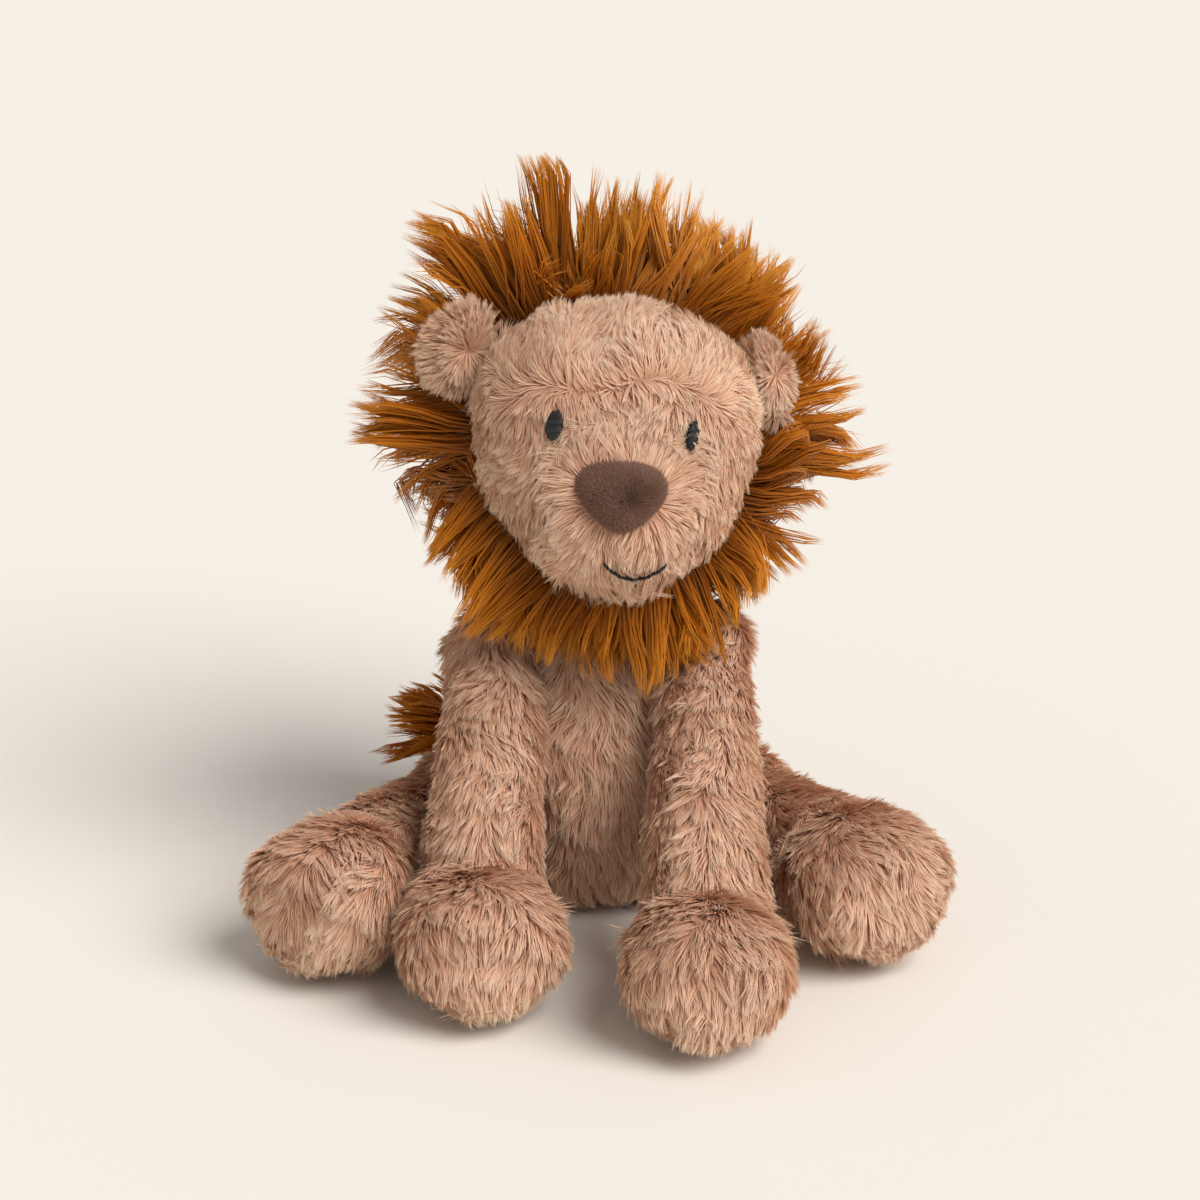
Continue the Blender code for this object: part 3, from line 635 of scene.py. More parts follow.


# The coat's dark root stops are partly the pile's own two tones and partly painted shade deep
# between the tufts.
coat = strand_finish(
    "tan_pile",
    [
        (0.0, linear(196, 148, 120)),
        (0.35, linear(227, 183, 154)),
        (0.75, linear(242, 208, 179)),
        (1.0, linear(252, 232, 207)),
    ],
    [(0.0, (0.76, 0.66, 0.60)), (0.5, (0.94, 0.90, 0.87)), (1.0, (1.0, 1.0, 0.98))],
    Roughness=0.8,
    Specular_IOR_Level=0.0,
)
# The mane's dark root stops are partly its own colour and partly painted shade inside the mane;
# its gold end stops are partly a painted highlight.
hair = strand_finish(
    "ginger_pile",
    [
        (0.0, linear(98, 46, 5)),
        (0.3, linear(156, 84, 12)),
        (0.7, linear(202, 120, 28)),
        (1.0, linear(228, 156, 58)),
    ],
    [(0.0, (0.58, 0.52, 0.45)), (0.5, (0.95, 0.92, 0.85)), (1.0, (1.0, 1.0, 1.0))],
    Roughness=0.45,
    Specular_IOR_Level=0.35,
    Specular_Tint=(1.0, 0.7, 0.35, 1.0),
)


LOOP_HEIGHT = 0.6 * MM


def knit(name, dark, light):
    """A knitted backing: fine loops in Object coordinates, mottled and bumpy."""
    made = Finish(name, Roughness=0.9, Specular_IOR_Level=0.2, Sheen_Weight=0.4)
    broad = made.noise(60, 3)
    fine = made.noise(1400, 2, 0.7)
    made.feed(Base_Color=made.ramp(broad * 0.5 + fine * 0.5, [(0.3, dark), (0.7, light)]))
    made.bump(fine, LOOP_HEIGHT)
    return made


backing = knit("tan_knit", linear(176, 130, 104), linear(206, 160, 132))
dark_backing = knit("ginger_knit", linear(92, 44, 8), linear(132, 70, 14))
print("finishes", [material.name for material in bpy.data.materials])

# %% [markdown]
# ## Torso
# The torso is an egg on its broad end. The skin has a hollow where each limb turns, so that a
# stuffed limb sits in it as a sewn one sits against the body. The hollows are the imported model's
# sockets, with a little room for the pile.


# %% Torso skin
def on_both_sides(x, y, z):
    """A place on the toy's left and its mirror image on the right."""
    return {"left": np.array([x, y, z]), "right": np.array([-x, y, z])}


NECK = np.array([1.0, -9.0, 108.78])
SHOULDERS = on_both_sides(32.72, -23.77, 84.0)
HIPS = on_both_sides(46.99, -7.44, 24.0)
TAIL_ROOT = np.array([0.0, 38.2, 14.0])
NECK_HOLLOW, SHOULDER_HOLLOW, HIP_HOLLOW, TAIL_HOLLOW = 18.2, 15.6, 17.4, 7.0
DOWN = np.array([0.0, 0.0, -1.0])
FORWARD = np.array([0.0, -1.0, 0.0])
TORSO_SUNK = 1.2
# Each ring's height, width and depth, as shares of the torso's, and its lean ahead.
torso_table = np.array(
    [
        (0.03, 0.74, 0.72, 0.0),
        (0.16, 1.01, 0.99, 0.0),
        (0.42, 1.01, 1.03, 0.1),
        (0.68, 0.83, 0.87, 0.4),
        (0.87, 0.63, 0.67, 0.8),
        (0.985, 0.36, 0.36, 1.0),
    ]
)
torso_height, torso_half = 104.0, np.array([50.0, 48.0])
torso_rings = np.column_stack(
    [
        np.zeros(len(torso_table)),
        -5 - 6 * torso_table[:, 3],
        torso_table[:, 0] * torso_height - TORSO_SUNK,
        torso_table[:, 1] * torso_half[0],
        torso_table[:, 2] * torso_half[1],
    ]
)
torso_tips = [(0, -5, -TORSO_SUNK), (0, -11, torso_height - TORSO_SUNK)]
torso_skin = skin_of(stuffed(torso_rings, torso_tips, (1, 0, 0)))
for shoulder in SHOULDERS.values():
    inward = (-np.sign(shoulder[0]) * 0.81, 0.59, 0)
    torso_skin = dent(torso_skin, shoulder, SHOULDER_HOLLOW, inward)
for hip in HIPS.values():
    torso_skin = dent(torso_skin, hip, HIP_HOLLOW, (-np.sign(hip[0]), 0.1, 0))
torso_skin = dent(torso_skin, NECK, NECK_HOLLOW, DOWN)
torso_skin = dent(torso_skin, TAIL_ROOT, TAIL_HOLLOW, FORWARD)
ROWS, COLUMNS = 90, 72
torso_plush = add_piece(
    "torso_plush", closed(torso_skin), grid_faces(ROWS - 1, COLUMNS), "torso", [backing]
)
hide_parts("torso_skin", "torso_filling", "seat_pellet_pouch")

# %% [markdown]
# ### The torso's coat
# A maker cuts plush so that its pile runs down the body. No strand grows in a hollow, where a limb
# covers the skin, and few grow on the sole. Front and back are two pieces, which keeps each small.


# %% Torso coat
def apart_from(points, *balls):
    """1 outside all the balls, each a centre and a radius, and 0 inside one."""
    free = np.ones(points.shape[:-1])
    for centre, radius in balls:
        free *= smoothstep(radius - 1.5, radius, np.linalg.norm(points - centre, axis=-1))
    return free


def coat_piece(name, strands, body, finish):
    """Strands as a piece that moves with a body, lit flat."""
    points, faces, uv = strands
    piece = add_piece(name, points, faces, body, [finish], uv, smooth=False)
    return piece


def torso_comb(points, normals):
    """Down everywhere, and a little outwards from the middle line of the chest."""
    return DOWN + points * np.array([0.006, 0, 0])


def off_the_sole(skin):
    """Full pile on a skin but for the part that stands on the floor, which gets an eighth."""
    return 0.12 + 0.88 * smoothstep(1.5, 6, skin[..., 2])


limb_balls = [(place, 15.5) for place in SHOULDERS.values()]
limb_balls += [(place, 17.5) for place in HIPS.values()]
limb_balls += [(NECK, 17.5), (TAIL_ROOT, TAIL_HOLLOW)]
torso_open = apart_from(torso_skin, *limb_balls) * off_the_sole(torso_skin)
in_front = smoothstep(2, -2, torso_skin[..., 1] + 5)
for name, share, counts, seed in (
    ("front", in_front, (19000, 7000), 11),
    ("back", 1 - in_front, (25000, 9000), 12),
):
    strands = pile(
        torso_skin,
        torso_comb,
        counts,
        seed,
        weight=torso_open * share,
        row_of=lambda points: points @ DOWN,
    )
    coat_piece(f"torso_coat_{name}", strands, "torso", coat)


# %% [markdown]
# ## Legs
# A leg is one stuffed tube from the shoulder or hip to the toe. It bends at the ankle and swells
# into a round paw that stands flat on the floor. Each foot's place gives its leg's way, so the
# four legs differ as they do where a toy is set down by hand.


# %% Legs
def leg_form(root, foot, way, radius, foot_size, ankle, bow, shank):
    """Rings from behind the root, down the shank, round the ankle and through the paw.

    The shank's middle line bows by half a sine wave. The paw's rings are ellipses of the foot's
    own length, width and height, and its lower ones sink so that the sole is level.
    """
    length, width, height = foot_size
    along = unit(ankle - root)
    rings = []
    for step, size in ((-0.42, 0.90), (0.35, 0.95)):
        rings.append((*(root + along * radius * step), radius * size, radius * size))
    for share, size in shank:
        middle = root + (ankle - root) * share + bow * math.sin(math.pi * share)
        rings.append((*middle, size, size))
    for share, across, rise in ((-0.28, 0.86, 0.84), (0.04, 1.03, 0.95), (0.34, 0.86, 0.74)):
        middle = foot + way * length * share + DOWN * height / 2 * (1 - rise) * 0.8
        rings.append((*middle, width / 2 * across, height / 2 * rise))
    tips = [root - along * radius, foot + way * length / 2 + DOWN * height * 0.12]
    return stuffed(rings, tips, np.cross(way, DOWN))


def leg_comb(root, foot, way, spread):
    """Along the shank, then forwards over the paw and down its toe."""
    along = unit(foot - root)

    def comb(points, normals):
        share = smoothstep(-34, 4, (points - foot) @ way)[:, None]
        beside = np.cross(way, DOWN)
        out = beside * np.sign((points - foot) @ beside)[:, None]
        return along * (1 - share) + (way * 0.8 + DOWN * 0.75) * share + out * spread

    return comb


legs = {}
FRONT_FEET = {"left": np.array([31.5, -118.0, 24.3]), "right": np.array([-35.5, -100.0, 24.3])}
HIND_FEET = {"left": np.array([81.0, -68.0, 26.5]), "right": np.array([-81.0, -77.0, 26.5])}
FRONT_RADIUS, HIND_RADIUS = 17.0, 19.0
FRONT_PAW, HIND_PAW = (57, 50, 46), (50, 52, 50)
FRONT_ANKLE = np.array([0, 20.5, 9.2])
FRONT_BOW, HIND_ANKLE_SHARE = 0.10, 0.74
FRONT_SHANK = ((0.36, 17.2), (0.66, 18.4), (0.93, 19.0))
HIND_SHANK = ((0.30, 17.2), (0.62, 18.6), (0.92, 20.0))
for hand in ("left", "right"):
    foot, root = FRONT_FEET[hand], SHOULDERS[hand]
    ankle = foot + FRONT_ANKLE
    bow = FORWARD * np.linalg.norm(root - ankle) * FRONT_BOW
    form = leg_form(root, foot, FORWARD, FRONT_RADIUS, FRONT_PAW, ankle, bow, FRONT_SHANK)
    run = unit(FORWARD * 0.6 + DOWN * 0.8)
    legs[f"front_leg_{hand}"] = (form, run, leg_comb(root, foot, FORWARD, 0.16))
    foot, root = HIND_FEET[hand], HIPS[hand]
    way = unit((foot - root) * np.array([1, 1, 0]))
    ankle = root + (foot - root) * HIND_ANKLE_SHARE
    form = leg_form(root, foot, way, HIND_RADIUS, HIND_PAW, ankle, np.zeros(3), HIND_SHANK)
    run = unit(way * 0.9 + DOWN * 0.4)
    legs[f"hind_leg_{hand}"] = (form, run, leg_comb(root, foot, way, 0.12))


def within_torso(points):
    """How far out a place lies from the torso's middle line, where 1 is its skin."""
    order = np.argsort(torso_rings[:, 2])
    top = torso_height - TORSO_SUNK
    heights = np.concatenate([[-TORSO_SUNK], torso_rings[order, 2], [top]])
    across, deep = (
        np.interp(points[..., 2], heights, np.concatenate([[9], torso_rings[order, k], [9]]))
        for k in (3, 4)
    )
    middle = np.interp(points[..., 2], heights[1:-1], torso_rings[order, 1])
    over = smoothstep(torso_height - 3, torso_height, points[..., 2])
    return np.hypot(points[..., 0] / across, (points[..., 1] - middle) / deep) + over


for seed, (name, (form, run, comb)) in enumerate(legs.items(), 21):
    end, _, hand = name.split("_")
    body = f"{hand}_{end}_leg"
    skin = skin_of(form, seed=seed)
    faces = grid_faces(ROWS - 1, COLUMNS)
    piece = add_piece(f"{name}_plush", closed(skin), faces, body, [backing])
    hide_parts(f"{name}_skin", f"{name}_filling", f"{name}_pellet_pouch")
    open_share = smoothstep(0.93, 0.97, within_torso(skin)) * off_the_sole(skin)
    counts = (31000, 12000) if end == "front" else (27000, 10000)
    strands = pile(skin, comb, counts, seed, weight=open_share, row_of=lambda points: points @ run)
    coat_piece(f"{name}_coat", strands, body, coat)

# %% [markdown]
# ## Head
# The head is a squared ball with a round muzzle set into its front. How far it reaches from its
# middle is one formula of the direction, so the skin is a grid of directions, from the nose to
# the back of the head.

# %% Head form
HEAD = np.array([4.0, -25.0, 153.78])
SKULL, MUZZLE = np.array([44.0, 41.0, 43.0]), np.array([27.0, 27.0, 26.0])
SKULL_POWER, MUZZLE_POWER, JAW_TAPER = 2.45, 10, 0.10
MUZZLE_AT = np.array([0.0, -24.0, -14.0])
HEAD_YAW, HEAD_PITCH, HEAD_ROLL = 3.5, -6, 5


def turn_about(axis, degrees):
    """A turn about X, Y or Z as a 3 x 3 matrix of cosines and sines."""
    turn = math.radians(degrees)
    after, last = (axis + 1) % 3, (axis + 2) % 3
    made = np.eye(3)
    made[after, after] = made[last, last] = math.cos(turn)
    made[last, after] = math.sin(turn)
    made[after, last] = -made[last, after]
    return made


HEAD_TURN = turn_about(2, HEAD_YAW) @ turn_about(0, HEAD_PITCH) @ turn_about(1, HEAD_ROLL)


def head_reach(way):
    """How far the head reaches along directions of its own frame.

    The skull is a ball with squared sides that narrows to the jaw. The muzzle is an ellipsoid
    ahead of it, whose far side solves a quadratic. A high power blends the larger of the two.
    """
    taper = 1 + JAW_TAPER * way[..., 2:]
    size = SKULL * np.concatenate([taper, np.ones_like(taper), np.ones_like(taper)], -1)
    skull = (np.abs(way / size) ** SKULL_POWER).sum(-1) ** (-1 / SKULL_POWER)
    step, offset = way / MUZZLE, MUZZLE_AT / MUZZLE
    along = (step * offset).sum(-1)
    inside = along**2 - (step**2).sum(-1) * (offset @ offset - 1)
    muzzle = np.maximum(0, (along + np.sqrt(np.maximum(inside, 0))) / (step**2).sum(-1))
    muzzle = np.where(inside > 0, muzzle, 0)
    return (skull**MUZZLE_POWER + muzzle**MUZZLE_POWER) ** (1 / MUZZLE_POWER)


def from_head(points):
    """Places in the head's frame as places in the world."""
    return points @ HEAD_TURN.T + HEAD


def into_head(points):
    """Places in the world as places in the head's frame."""
    return (points - HEAD) @ HEAD_TURN


def on_head(x, z, proud=0.0):
    """Places on the head's front that lie ahead of (x, z) in its frame, a bit proud.

    The aim is moved by what the place reached still misses, a few times over.
    """
    x, z = np.broadcast_arrays(np.asarray(x, float), np.asarray(z, float))
    aim = np.stack([x, np.full(x.shape, -SKULL[1]), z], -1)
    for _ in range(14):
        place = unit(aim) * (head_reach(unit(aim)) + proud)[..., None]
        aim = aim + np.stack([x - place[..., 0], 0 * x, z - place[..., 2]], -1)
    return place


def all_ways(rows, columns):
    """Directions all round, in rings from one pole of Z to the other."""
    polar = np.linspace(0, np.pi, rows + 1)[:, None]
    around = (np.arange(columns) * 2 * np.pi / columns)[None]
    x, y = np.sin(polar) * np.cos(around), np.sin(polar) * np.sin(around)
    return np.stack([x, y, -np.cos(polar) * np.ones_like(around)], -1)


HEAD_ROWS, HEAD_COLUMNS = 110, 110
EAR_HOLLOW = 5.6
INTO_NECK = (0, -0.1, 1)
directions = all_ways(HEAD_ROWS, HEAD_COLUMNS)[..., [0, 2, 1]] * (1, 1, -1)
head_local = directions * head_reach(directions)[..., None]
head_skin = dent(skin_of(from_head(head_local), seed=3), NECK, NECK_HOLLOW, INTO_NECK)
# Each ear's root, the way it stands out and the way its flat side lies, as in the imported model.
EARS = {
    "left": (
        np.array([45.7, -15.68, 170.21]),
        unit(np.array([0.95, -0.02, 0.20])),
        np.array([-0.25, 0.07387, 0.95]),
    ),
    "right": (
        np.array([-34.97, -19.88, 177.24]),
        np.array([-0.84985, 0.00352, 0.52702]),
        np.array([0.52352, 0.12083, 0.8434]),
    ),
}
for ear_root, ear_out, _ in EARS.values():
    head_skin = dent(head_skin, ear_root, EAR_HOLLOW, -ear_out)
head_plush = add_piece(
    "head_plush", closed(head_skin), grid_faces(HEAD_ROWS - 1, HEAD_COLUMNS), "head", [backing]
)
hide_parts("head_skin", "head_filling")

# %% [markdown]
# ### The face's coat
# The face decides the toy's look. Its pile starts at the nose and runs outwards over the muzzle,
# down the cheeks and up the forehead, where it meets the mane's seam. The seam is a curve of
# depths by the angle round the head. Eyes, nose and mouth stay clear of roots.

# %% Face coat
EYES = {"left": (20.5, 11.0), "right": (-20.5, 11.0)}
EYE_HALF = np.array([2.7, 4.0])
NOSE_AT = np.array([1.5, -8.0])
NOSE_CLEAR = np.array([11.6, 9.0])
MOUTH_X, MOUTH_SPAN, MOUTH_Z, MOUTH_SAG = 6.0, 9.5, -27.5, 5.0
SEAM_ANGLES = [-90, -77, -61, -46, -26, -8, 8, 16, 22, 36, 44, 59, 90]
SEAM_ANGLES += [100, 118, 132, 144, 158, 172, 186, 204, 222, 243, 258, 270]
SEAM_PLACES = [-28, -27, -23, -18, -13, -9, -3, 6, 12, 12, 8, 7, 9]
SEAM_PLACES += [9, 9, 8, 12, 12, 4, 0, -13, -20, -21, -26, -28]


def mane_front(local):
    """Where the mane's front seam lies, in mm behind the head's middle, by the angle round it."""
    angle = np.degrees(np.arctan2(local[..., 2], local[..., 0]))
    return np.interp((angle + 90) % 360 - 90, SEAM_ANGLES, SEAM_PLACES)


def mouth_height(x):
    """The mouth is a parabola that sags in the middle."""
    return MOUTH_Z - MOUTH_SAG * (1 - ((x - MOUTH_X) / MOUTH_SPAN) ** 2)


def on_features(points):
    """Whether places lie on an eye, the nose or the mouth, seen along the head's Y axis."""
    local = into_head(points)
    x, z = local[..., 0], local[..., 2]
    taken = np.hypot(x / NOSE_CLEAR[0], (z - NOSE_AT[1]) / NOSE_CLEAR[1]) < 1
    for (eye_x, eye_z), covered, clear in zip(EYES.values(), (1.2, 0), (0.6, 0.85)):
        away = (z - eye_z + covered) / EYE_HALF[1]
        taken |= np.hypot((x - eye_x) / EYE_HALF[0], away) < clear
    taken |= (np.abs(z - mouth_height(x)) < 0.9) & (np.abs(x - MOUTH_X - 2) < MOUTH_SPAN - 2)
    return taken & (local[..., 1] < -10)


def near_nose(local):
    """The way from the nose, its length, and a share that is 1 on the muzzle and 0 beyond."""
    from_nose = local - on_head(*NOSE_AT[:, None])[0]
    gap = np.linalg.norm(from_nose, axis=1)
    return from_nose, gap, smoothstep(34, 16, gap)


def face_comb(points, normals):
    """Up the forehead, down the cheeks and outwards from the nose on the muzzle.

    The line where up and down part wanders by several mm, so that no straight parting shows.
    """
    local = into_head(points)
    from_nose, _, near = near_nose(local)
    near = near[:, None]
    under = smoothstep(-6, -22, local[:, 2])[:, None] * near
    wander = 7 * ripple(local, np.random.default_rng(46), 22)
    on_top = smoothstep(14, 30, local[:, 2] + wander)[:, None]
    down = np.concatenate([0 * on_top, 0.15 + 0.35 * on_top, 2 * on_top - 1], 1)
    way = unit(from_nose) * near * (1 - 0.5 * under) + down * (1 - near)
    way = way + DOWN * under * 0.7
    return way @ HEAD_TURN.T


def down_face(points):
    """The distance down the face in mm, measured from the nose outwards on the muzzle."""
    local = into_head(points)
    _, gap, near = near_nose(local)
    return gap * near - local[:, 2] * (1 - near)


def face_shape(points):
    """Longer strands under the chin and on top, where they also stand before the mane."""
    local = into_head(points)
    chin = smoothstep(-28, -38, local[:, 2]) * smoothstep(-5, -20, local[:, 1])
    top = smoothstep(37, 42, local[:, 2])
    return 1 + 1.2 * chin + 0.35 * top, 0.5 * top


local_skin = into_head(head_skin)
face_open = smoothstep(5, 0, local_skin[..., 1] - mane_front(local_skin))
face_open *= np.where(on_features(head_skin), 0.0, 1.0)
face_open *= apart_from(head_skin, *[(ear[0], 6.5) for ear in EARS.values()], (NECK, 19.0))
strands = pile(
    head_skin,
    face_comb,
    (33000, 15000),
    31,
    length=9.0,
    weight=face_open,
    rows=1.2,
    row_of=down_face,
    taken=on_features,
    shape_of=face_shape,
)
coat_piece("face_coat", strands, "head", coat)

# %% [markdown]
# ## Ears
# Each ear is a small padded flap, round at its rim, with pile on both sides that runs outwards
# from its middle. The left one is set a little deeper, as the photograph shows it.

# %% Ears
EAR_REACH = {"left": 17, "right": 20}
EAR_SET_IN = {"left": 3.0, "right": 0.0}
EAR_HALF = np.array([13, 5.6])
EAR_INSET = 2.4
EAR_ROWS, EAR_COLUMNS = 48, 48
for seed, (hand, (root, out, lie)) in enumerate(EARS.items(), 41):
    reach = EAR_REACH[hand]
    rings = [
        (*(root + out * reach * share), *(EAR_HALF * size))
        for share, size in ((-0.10, 0.34), (0.16, 0.66), (0.50, 1.04), (0.80, 0.80))
    ]
    tips = [root - out * 6.5, root + out * reach]
    form = stuffed(rings, tips, lie, EAR_ROWS, EAR_COLUMNS)
    skin = form - outward(form) * EAR_INSET - out * EAR_SET_IN[hand]
    body = f"{hand}_ear"
    faces = grid_faces(EAR_ROWS - 1, EAR_COLUMNS)
    piece = add_piece(f"ear_{hand}_plush", closed(skin), faces, body, [backing])
    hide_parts(f"ear_{hand}")
    middle = root + out * 9

    def ear_comb(points, normals, middle=middle, out=out):
        """Outwards from the ear's middle, and towards its rim."""
        return unit(points - middle) * 0.7 + out * 0.3 + DOWN * 0.3

    outside = np.linalg.norm(into_head(skin), axis=-1)
    free = smoothstep(-3, 0, outside - head_reach(unit(into_head(skin))) + 2)
    strands = pile(
        skin,
        ear_comb,
        (8000, 3000),
        seed,
        length=7.5,
        weight=free,
        lift=32,
        rows=1.2,
        row_of=lambda points, middle=middle: np.linalg.norm(points - middle, axis=-1),
    )
    coat_piece(f"ear_{hand}_coat", strands, body, coat)

# %% [markdown]
# ## Nose
# The nose is a padded patch of very short brown pile. Its outline is a rounded triangle, wide
# above. The patch is a dome over that outline, worked out ring by ring on the muzzle.

# %% Nose
NOSE_RINGS, NOSE_COLUMNS = 26, 60
NOSE_HALF = np.array([12.0, 9.3])
NOSE_DOME = 5.2
rim = np.arange(NOSE_COLUMNS) * 2 * np.pi / NOSE_COLUMNS


def nose_grid():
    """A dome over the outline and a flat back on the skin, from its top tip to its back tip.

    The outline's half width is a cosine times 1 + 0.4 sine, so that it is wide above. The
    dome's height falls from the middle as (1 - ring ** 2.6) ** 0.6.
    """
    ring = np.sin(np.linspace(0, np.pi / 2, NOSE_RINGS))[:, None]
    x = ring * NOSE_HALF[0] * np.cos(rim) * (1 + 0.40 * np.sin(rim))
    z = ring * NOSE_HALF[1] * np.sin(rim) + NOSE_AT[1] + 0.8 * ring
    dome = NOSE_DOME * (1 - ring**2.6 + 1e-9) ** 0.6
    top = on_head(x, z, -SKIN_INSET + dome - 0.3)
    back = on_head(x, z, np.full(x.shape, -SKIN_INSET - 0.6))[::-1]
    return from_head(np.concatenate([top, back]))[:, ::-1]


nose_points = nose_grid()
velvet_cloth = knit("nose_knit", linear(88, 56, 42), linear(118, 82, 64))
nose_faces = grid_faces(2 * NOSE_RINGS - 2, NOSE_COLUMNS)
nose = add_piece("nose_pad", closed(nose_points), nose_faces, "head", [velvet_cloth])
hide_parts("nose_patch")

# %% [markdown]
# ### The nose's pile
# Velvet stands nearly upright and leans outwards from the middle, so it catches light at its rim.

# %% Nose pile
velvet = strand_finish(
    "brown_velvet",
    [(0.0, linear(96, 60, 44)), (0.6, linear(138, 98, 78)), (1.0, linear(172, 136, 116))],
    [(0.0, (0.66, 0.62, 0.60)), (1.0, (1.0, 1.0, 1.0))],
    Roughness=0.75,
    Specular_IOR_Level=0.2,
    Sheen_Weight=0.3,
)
VELVET_COUNT, VELVET_RADIUS = 15000, 0.16
nose_top = np.zeros(nose_points.shape[:2])
nose_top[: NOSE_RINGS - 1] = 1
rng = np.random.default_rng(51)
roots, normals = roots_on(nose_points, VELVET_COUNT, rng, nose_top)
nose_middle = from_head(on_head(*NOSE_AT[:, None])[0])
level = unit(roots - nose_middle) + 0.25 * rng.normal(size=roots.shape)
leans = np.radians(72 - 30 * rng.random((VELVET_COUNT, 2)) - 5 * ripple(roots, rng, 6)[:, None])
long = rng.uniform(1.3, 2.0, VELVET_COUNT)
lines = strand_lines(roots, normals, level, long, leans, 2)
tone = 0.55 + 0.08 * ripple(roots, rng, 7) + 0.20 * rng.normal(size=VELVET_COUNT)
strands = tubes(lines, np.full(VELVET_COUNT, VELVET_RADIUS), (1.0,), as_tone(tone), normals)
coat_piece("nose_pile", strands, "head", velvet)

# %% [markdown]
# ## Eyes and mouth
# Eyes and mouth are embroidered with dark thread. Each eye is a small oval of satin stitches that
# lie side by side. The mouth is a line of back stitches of two-ply thread.

# %% Stitches
floss = Finish("dark_floss", Roughness=0.55, Specular_IOR_Level=0.3, Sheen_Weight=0.05)
tone, _ = floss.tone_and_way()
floss.feed(Base_Color=floss.ramp(tone, [(0.0, linear(12, 12, 15)), (1.0, linear(38, 39, 44))]))
THREAD = 0.38
EYE_STITCHES, EYE_KNOTS = 15, 9
for seed, (hand, (eye_x, eye_z)) in enumerate(EYES.items(), 61):
    rng = np.random.default_rng(seed)
    rows = np.linspace(-1, 1, EYE_STITCHES)
    half = EYE_HALF[0] * np.sqrt(1 - (rows * 0.96) ** 2)
    share = np.linspace(-1, 1, EYE_KNOTS)
    x = eye_x + half[:, None] * share + 0.15 * rng.normal(size=(EYE_STITCHES, 1))
    z = eye_z + EYE_HALF[1] * rows[:, None] + 0.5 * share
    z = z + 0.08 * rng.normal(size=(EYE_STITCHES, EYE_KNOTS))
    proud = 0.3 - 3.0 * np.abs(share) ** 4 + 0.12 * rng.normal(size=(EYE_STITCHES, 1))
    lines = from_head(on_head(x, z, np.broadcast_to(proud, x.shape)))
    out = unit(lines[:, EYE_KNOTS // 2] - HEAD)
    thick, taper = np.full(EYE_STITCHES, THREAD), np.ones(EYE_KNOTS - 1)
    strands = tubes(lines, thick, taper, rng.random(EYE_STITCHES), out)
    eye = coat_piece(f"eye_{hand}_stitches", strands, "head", floss)
    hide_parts(f"eye_{hand}")

# %% [markdown]
# ### The mouth
# Each back stitch dips into the cloth at both ends, as the size of a sine does. Two plies turn
# round its line as a helix.

# %% Mouth
MOUTH_STITCHES, MOUTH_KNOTS = 5, 161
PLY_PITCH, PLY_OFFSET = 2.6, 0.30
share = np.linspace(-1, 1, MOUTH_KNOTS)
stitch = np.abs(np.sin((share + 1) / 2 * np.pi * MOUTH_STITCHES))
mouth_x = MOUTH_X + MOUTH_SPAN * share
line = on_head(mouth_x, mouth_height(mouth_x), 0.9 - 1.2 * (1 - stitch) ** 3)
lines = []
for ply in (0, np.pi):
    turn = share * MOUTH_SPAN * 2 * np.pi / PLY_PITCH + ply
    lines.append(line + PLY_OFFSET * np.stack([0 * turn, np.cos(turn), np.sin(turn)], -1))
lines, tone = from_head(np.array(lines)), np.array([0.2, 0.5])
thick, facing = np.full(2, THREAD), np.array([FORWARD, FORWARD])
strands = tubes(lines, thick, np.ones(MOUTH_KNOTS - 1), tone, facing)
mouth = coat_piece("mouth_stitches", strands, "head", floss)
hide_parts("mouth_stitch")

# %% [markdown]
# ## Neck
# The filled neck is a furry ball that turns in the torso and the head. Only its pile shows, and
# only when the head turns.


# %% Neck
def one_way(way):
    """A comb that runs one way everywhere."""
    return lambda points, normals: way + 0 * points


NECK_RADIUS = 16.4
NECK_ROWS, NECK_COLUMNS = 48, 60
neck_skin = NECK + all_ways(NECK_ROWS, NECK_COLUMNS) * NECK_RADIUS
neck_faces = grid_faces(NECK_ROWS - 1, NECK_COLUMNS)
neck = add_piece("neck_plush", closed(neck_skin), neck_faces, "neck", [backing])
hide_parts("neck_plug")
strands = pile(neck_skin, one_way(DOWN), (3500, 1500), 71, length=6.0, lift=16)
coat_piece("neck_coat", strands, "neck", coat)

# %% [markdown]
# ## Tail
# The tail is a thin stuffed tube that lies round to the toy's right. It sags by half a sine wave
# and carries shorter pile than the body.

# %% Tail
TAIL_WAY = np.array([-56.0, 11.0, 15.0])
TAIL_BEND = np.array([0.0, 9.9, -6.75])
TAIL_START = np.array([2.5, -7.5, 0.5])
TAIL_RADIUS, TAIL_INSET = 6, 2.2
TAIL_ROWS, TAIL_COLUMNS = 80, 40
rings = [
    (*(TAIL_ROOT + TAIL_WAY * share + TAIL_BEND * math.sin(math.pi * share)), *[TAIL_RADIUS] * 2)
    for share in (0.0, 0.2, 0.4, 0.6, 0.8, 0.94)
]
tips = [TAIL_ROOT + TAIL_START, TAIL_ROOT + TAIL_WAY]
tail_skin = skin_of(stuffed(rings, tips, (0, 0, 1), TAIL_ROWS, TAIL_COLUMNS), TAIL_INSET)
tail_faces = grid_faces(TAIL_ROWS - 1, TAIL_COLUMNS)
tail = add_piece("tail_plush", closed(tail_skin), tail_faces, "tail", [backing])
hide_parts("tail")
strands = pile(tail_skin, one_way(TAIL_WAY), (5000, 2500), 72, length=8.0, lift=20)
coat_piece("tail_coat", strands, "tail", coat)

# %% [markdown]
# ## Mane
# The mane is a band of long pile round the head. Long fibres cling in locks, and locks in tresses
# that part from each other. Every strand runs from its root on the head to a place on the mane's
# outer form, and the strands of one lock curl and close up together like a flame.

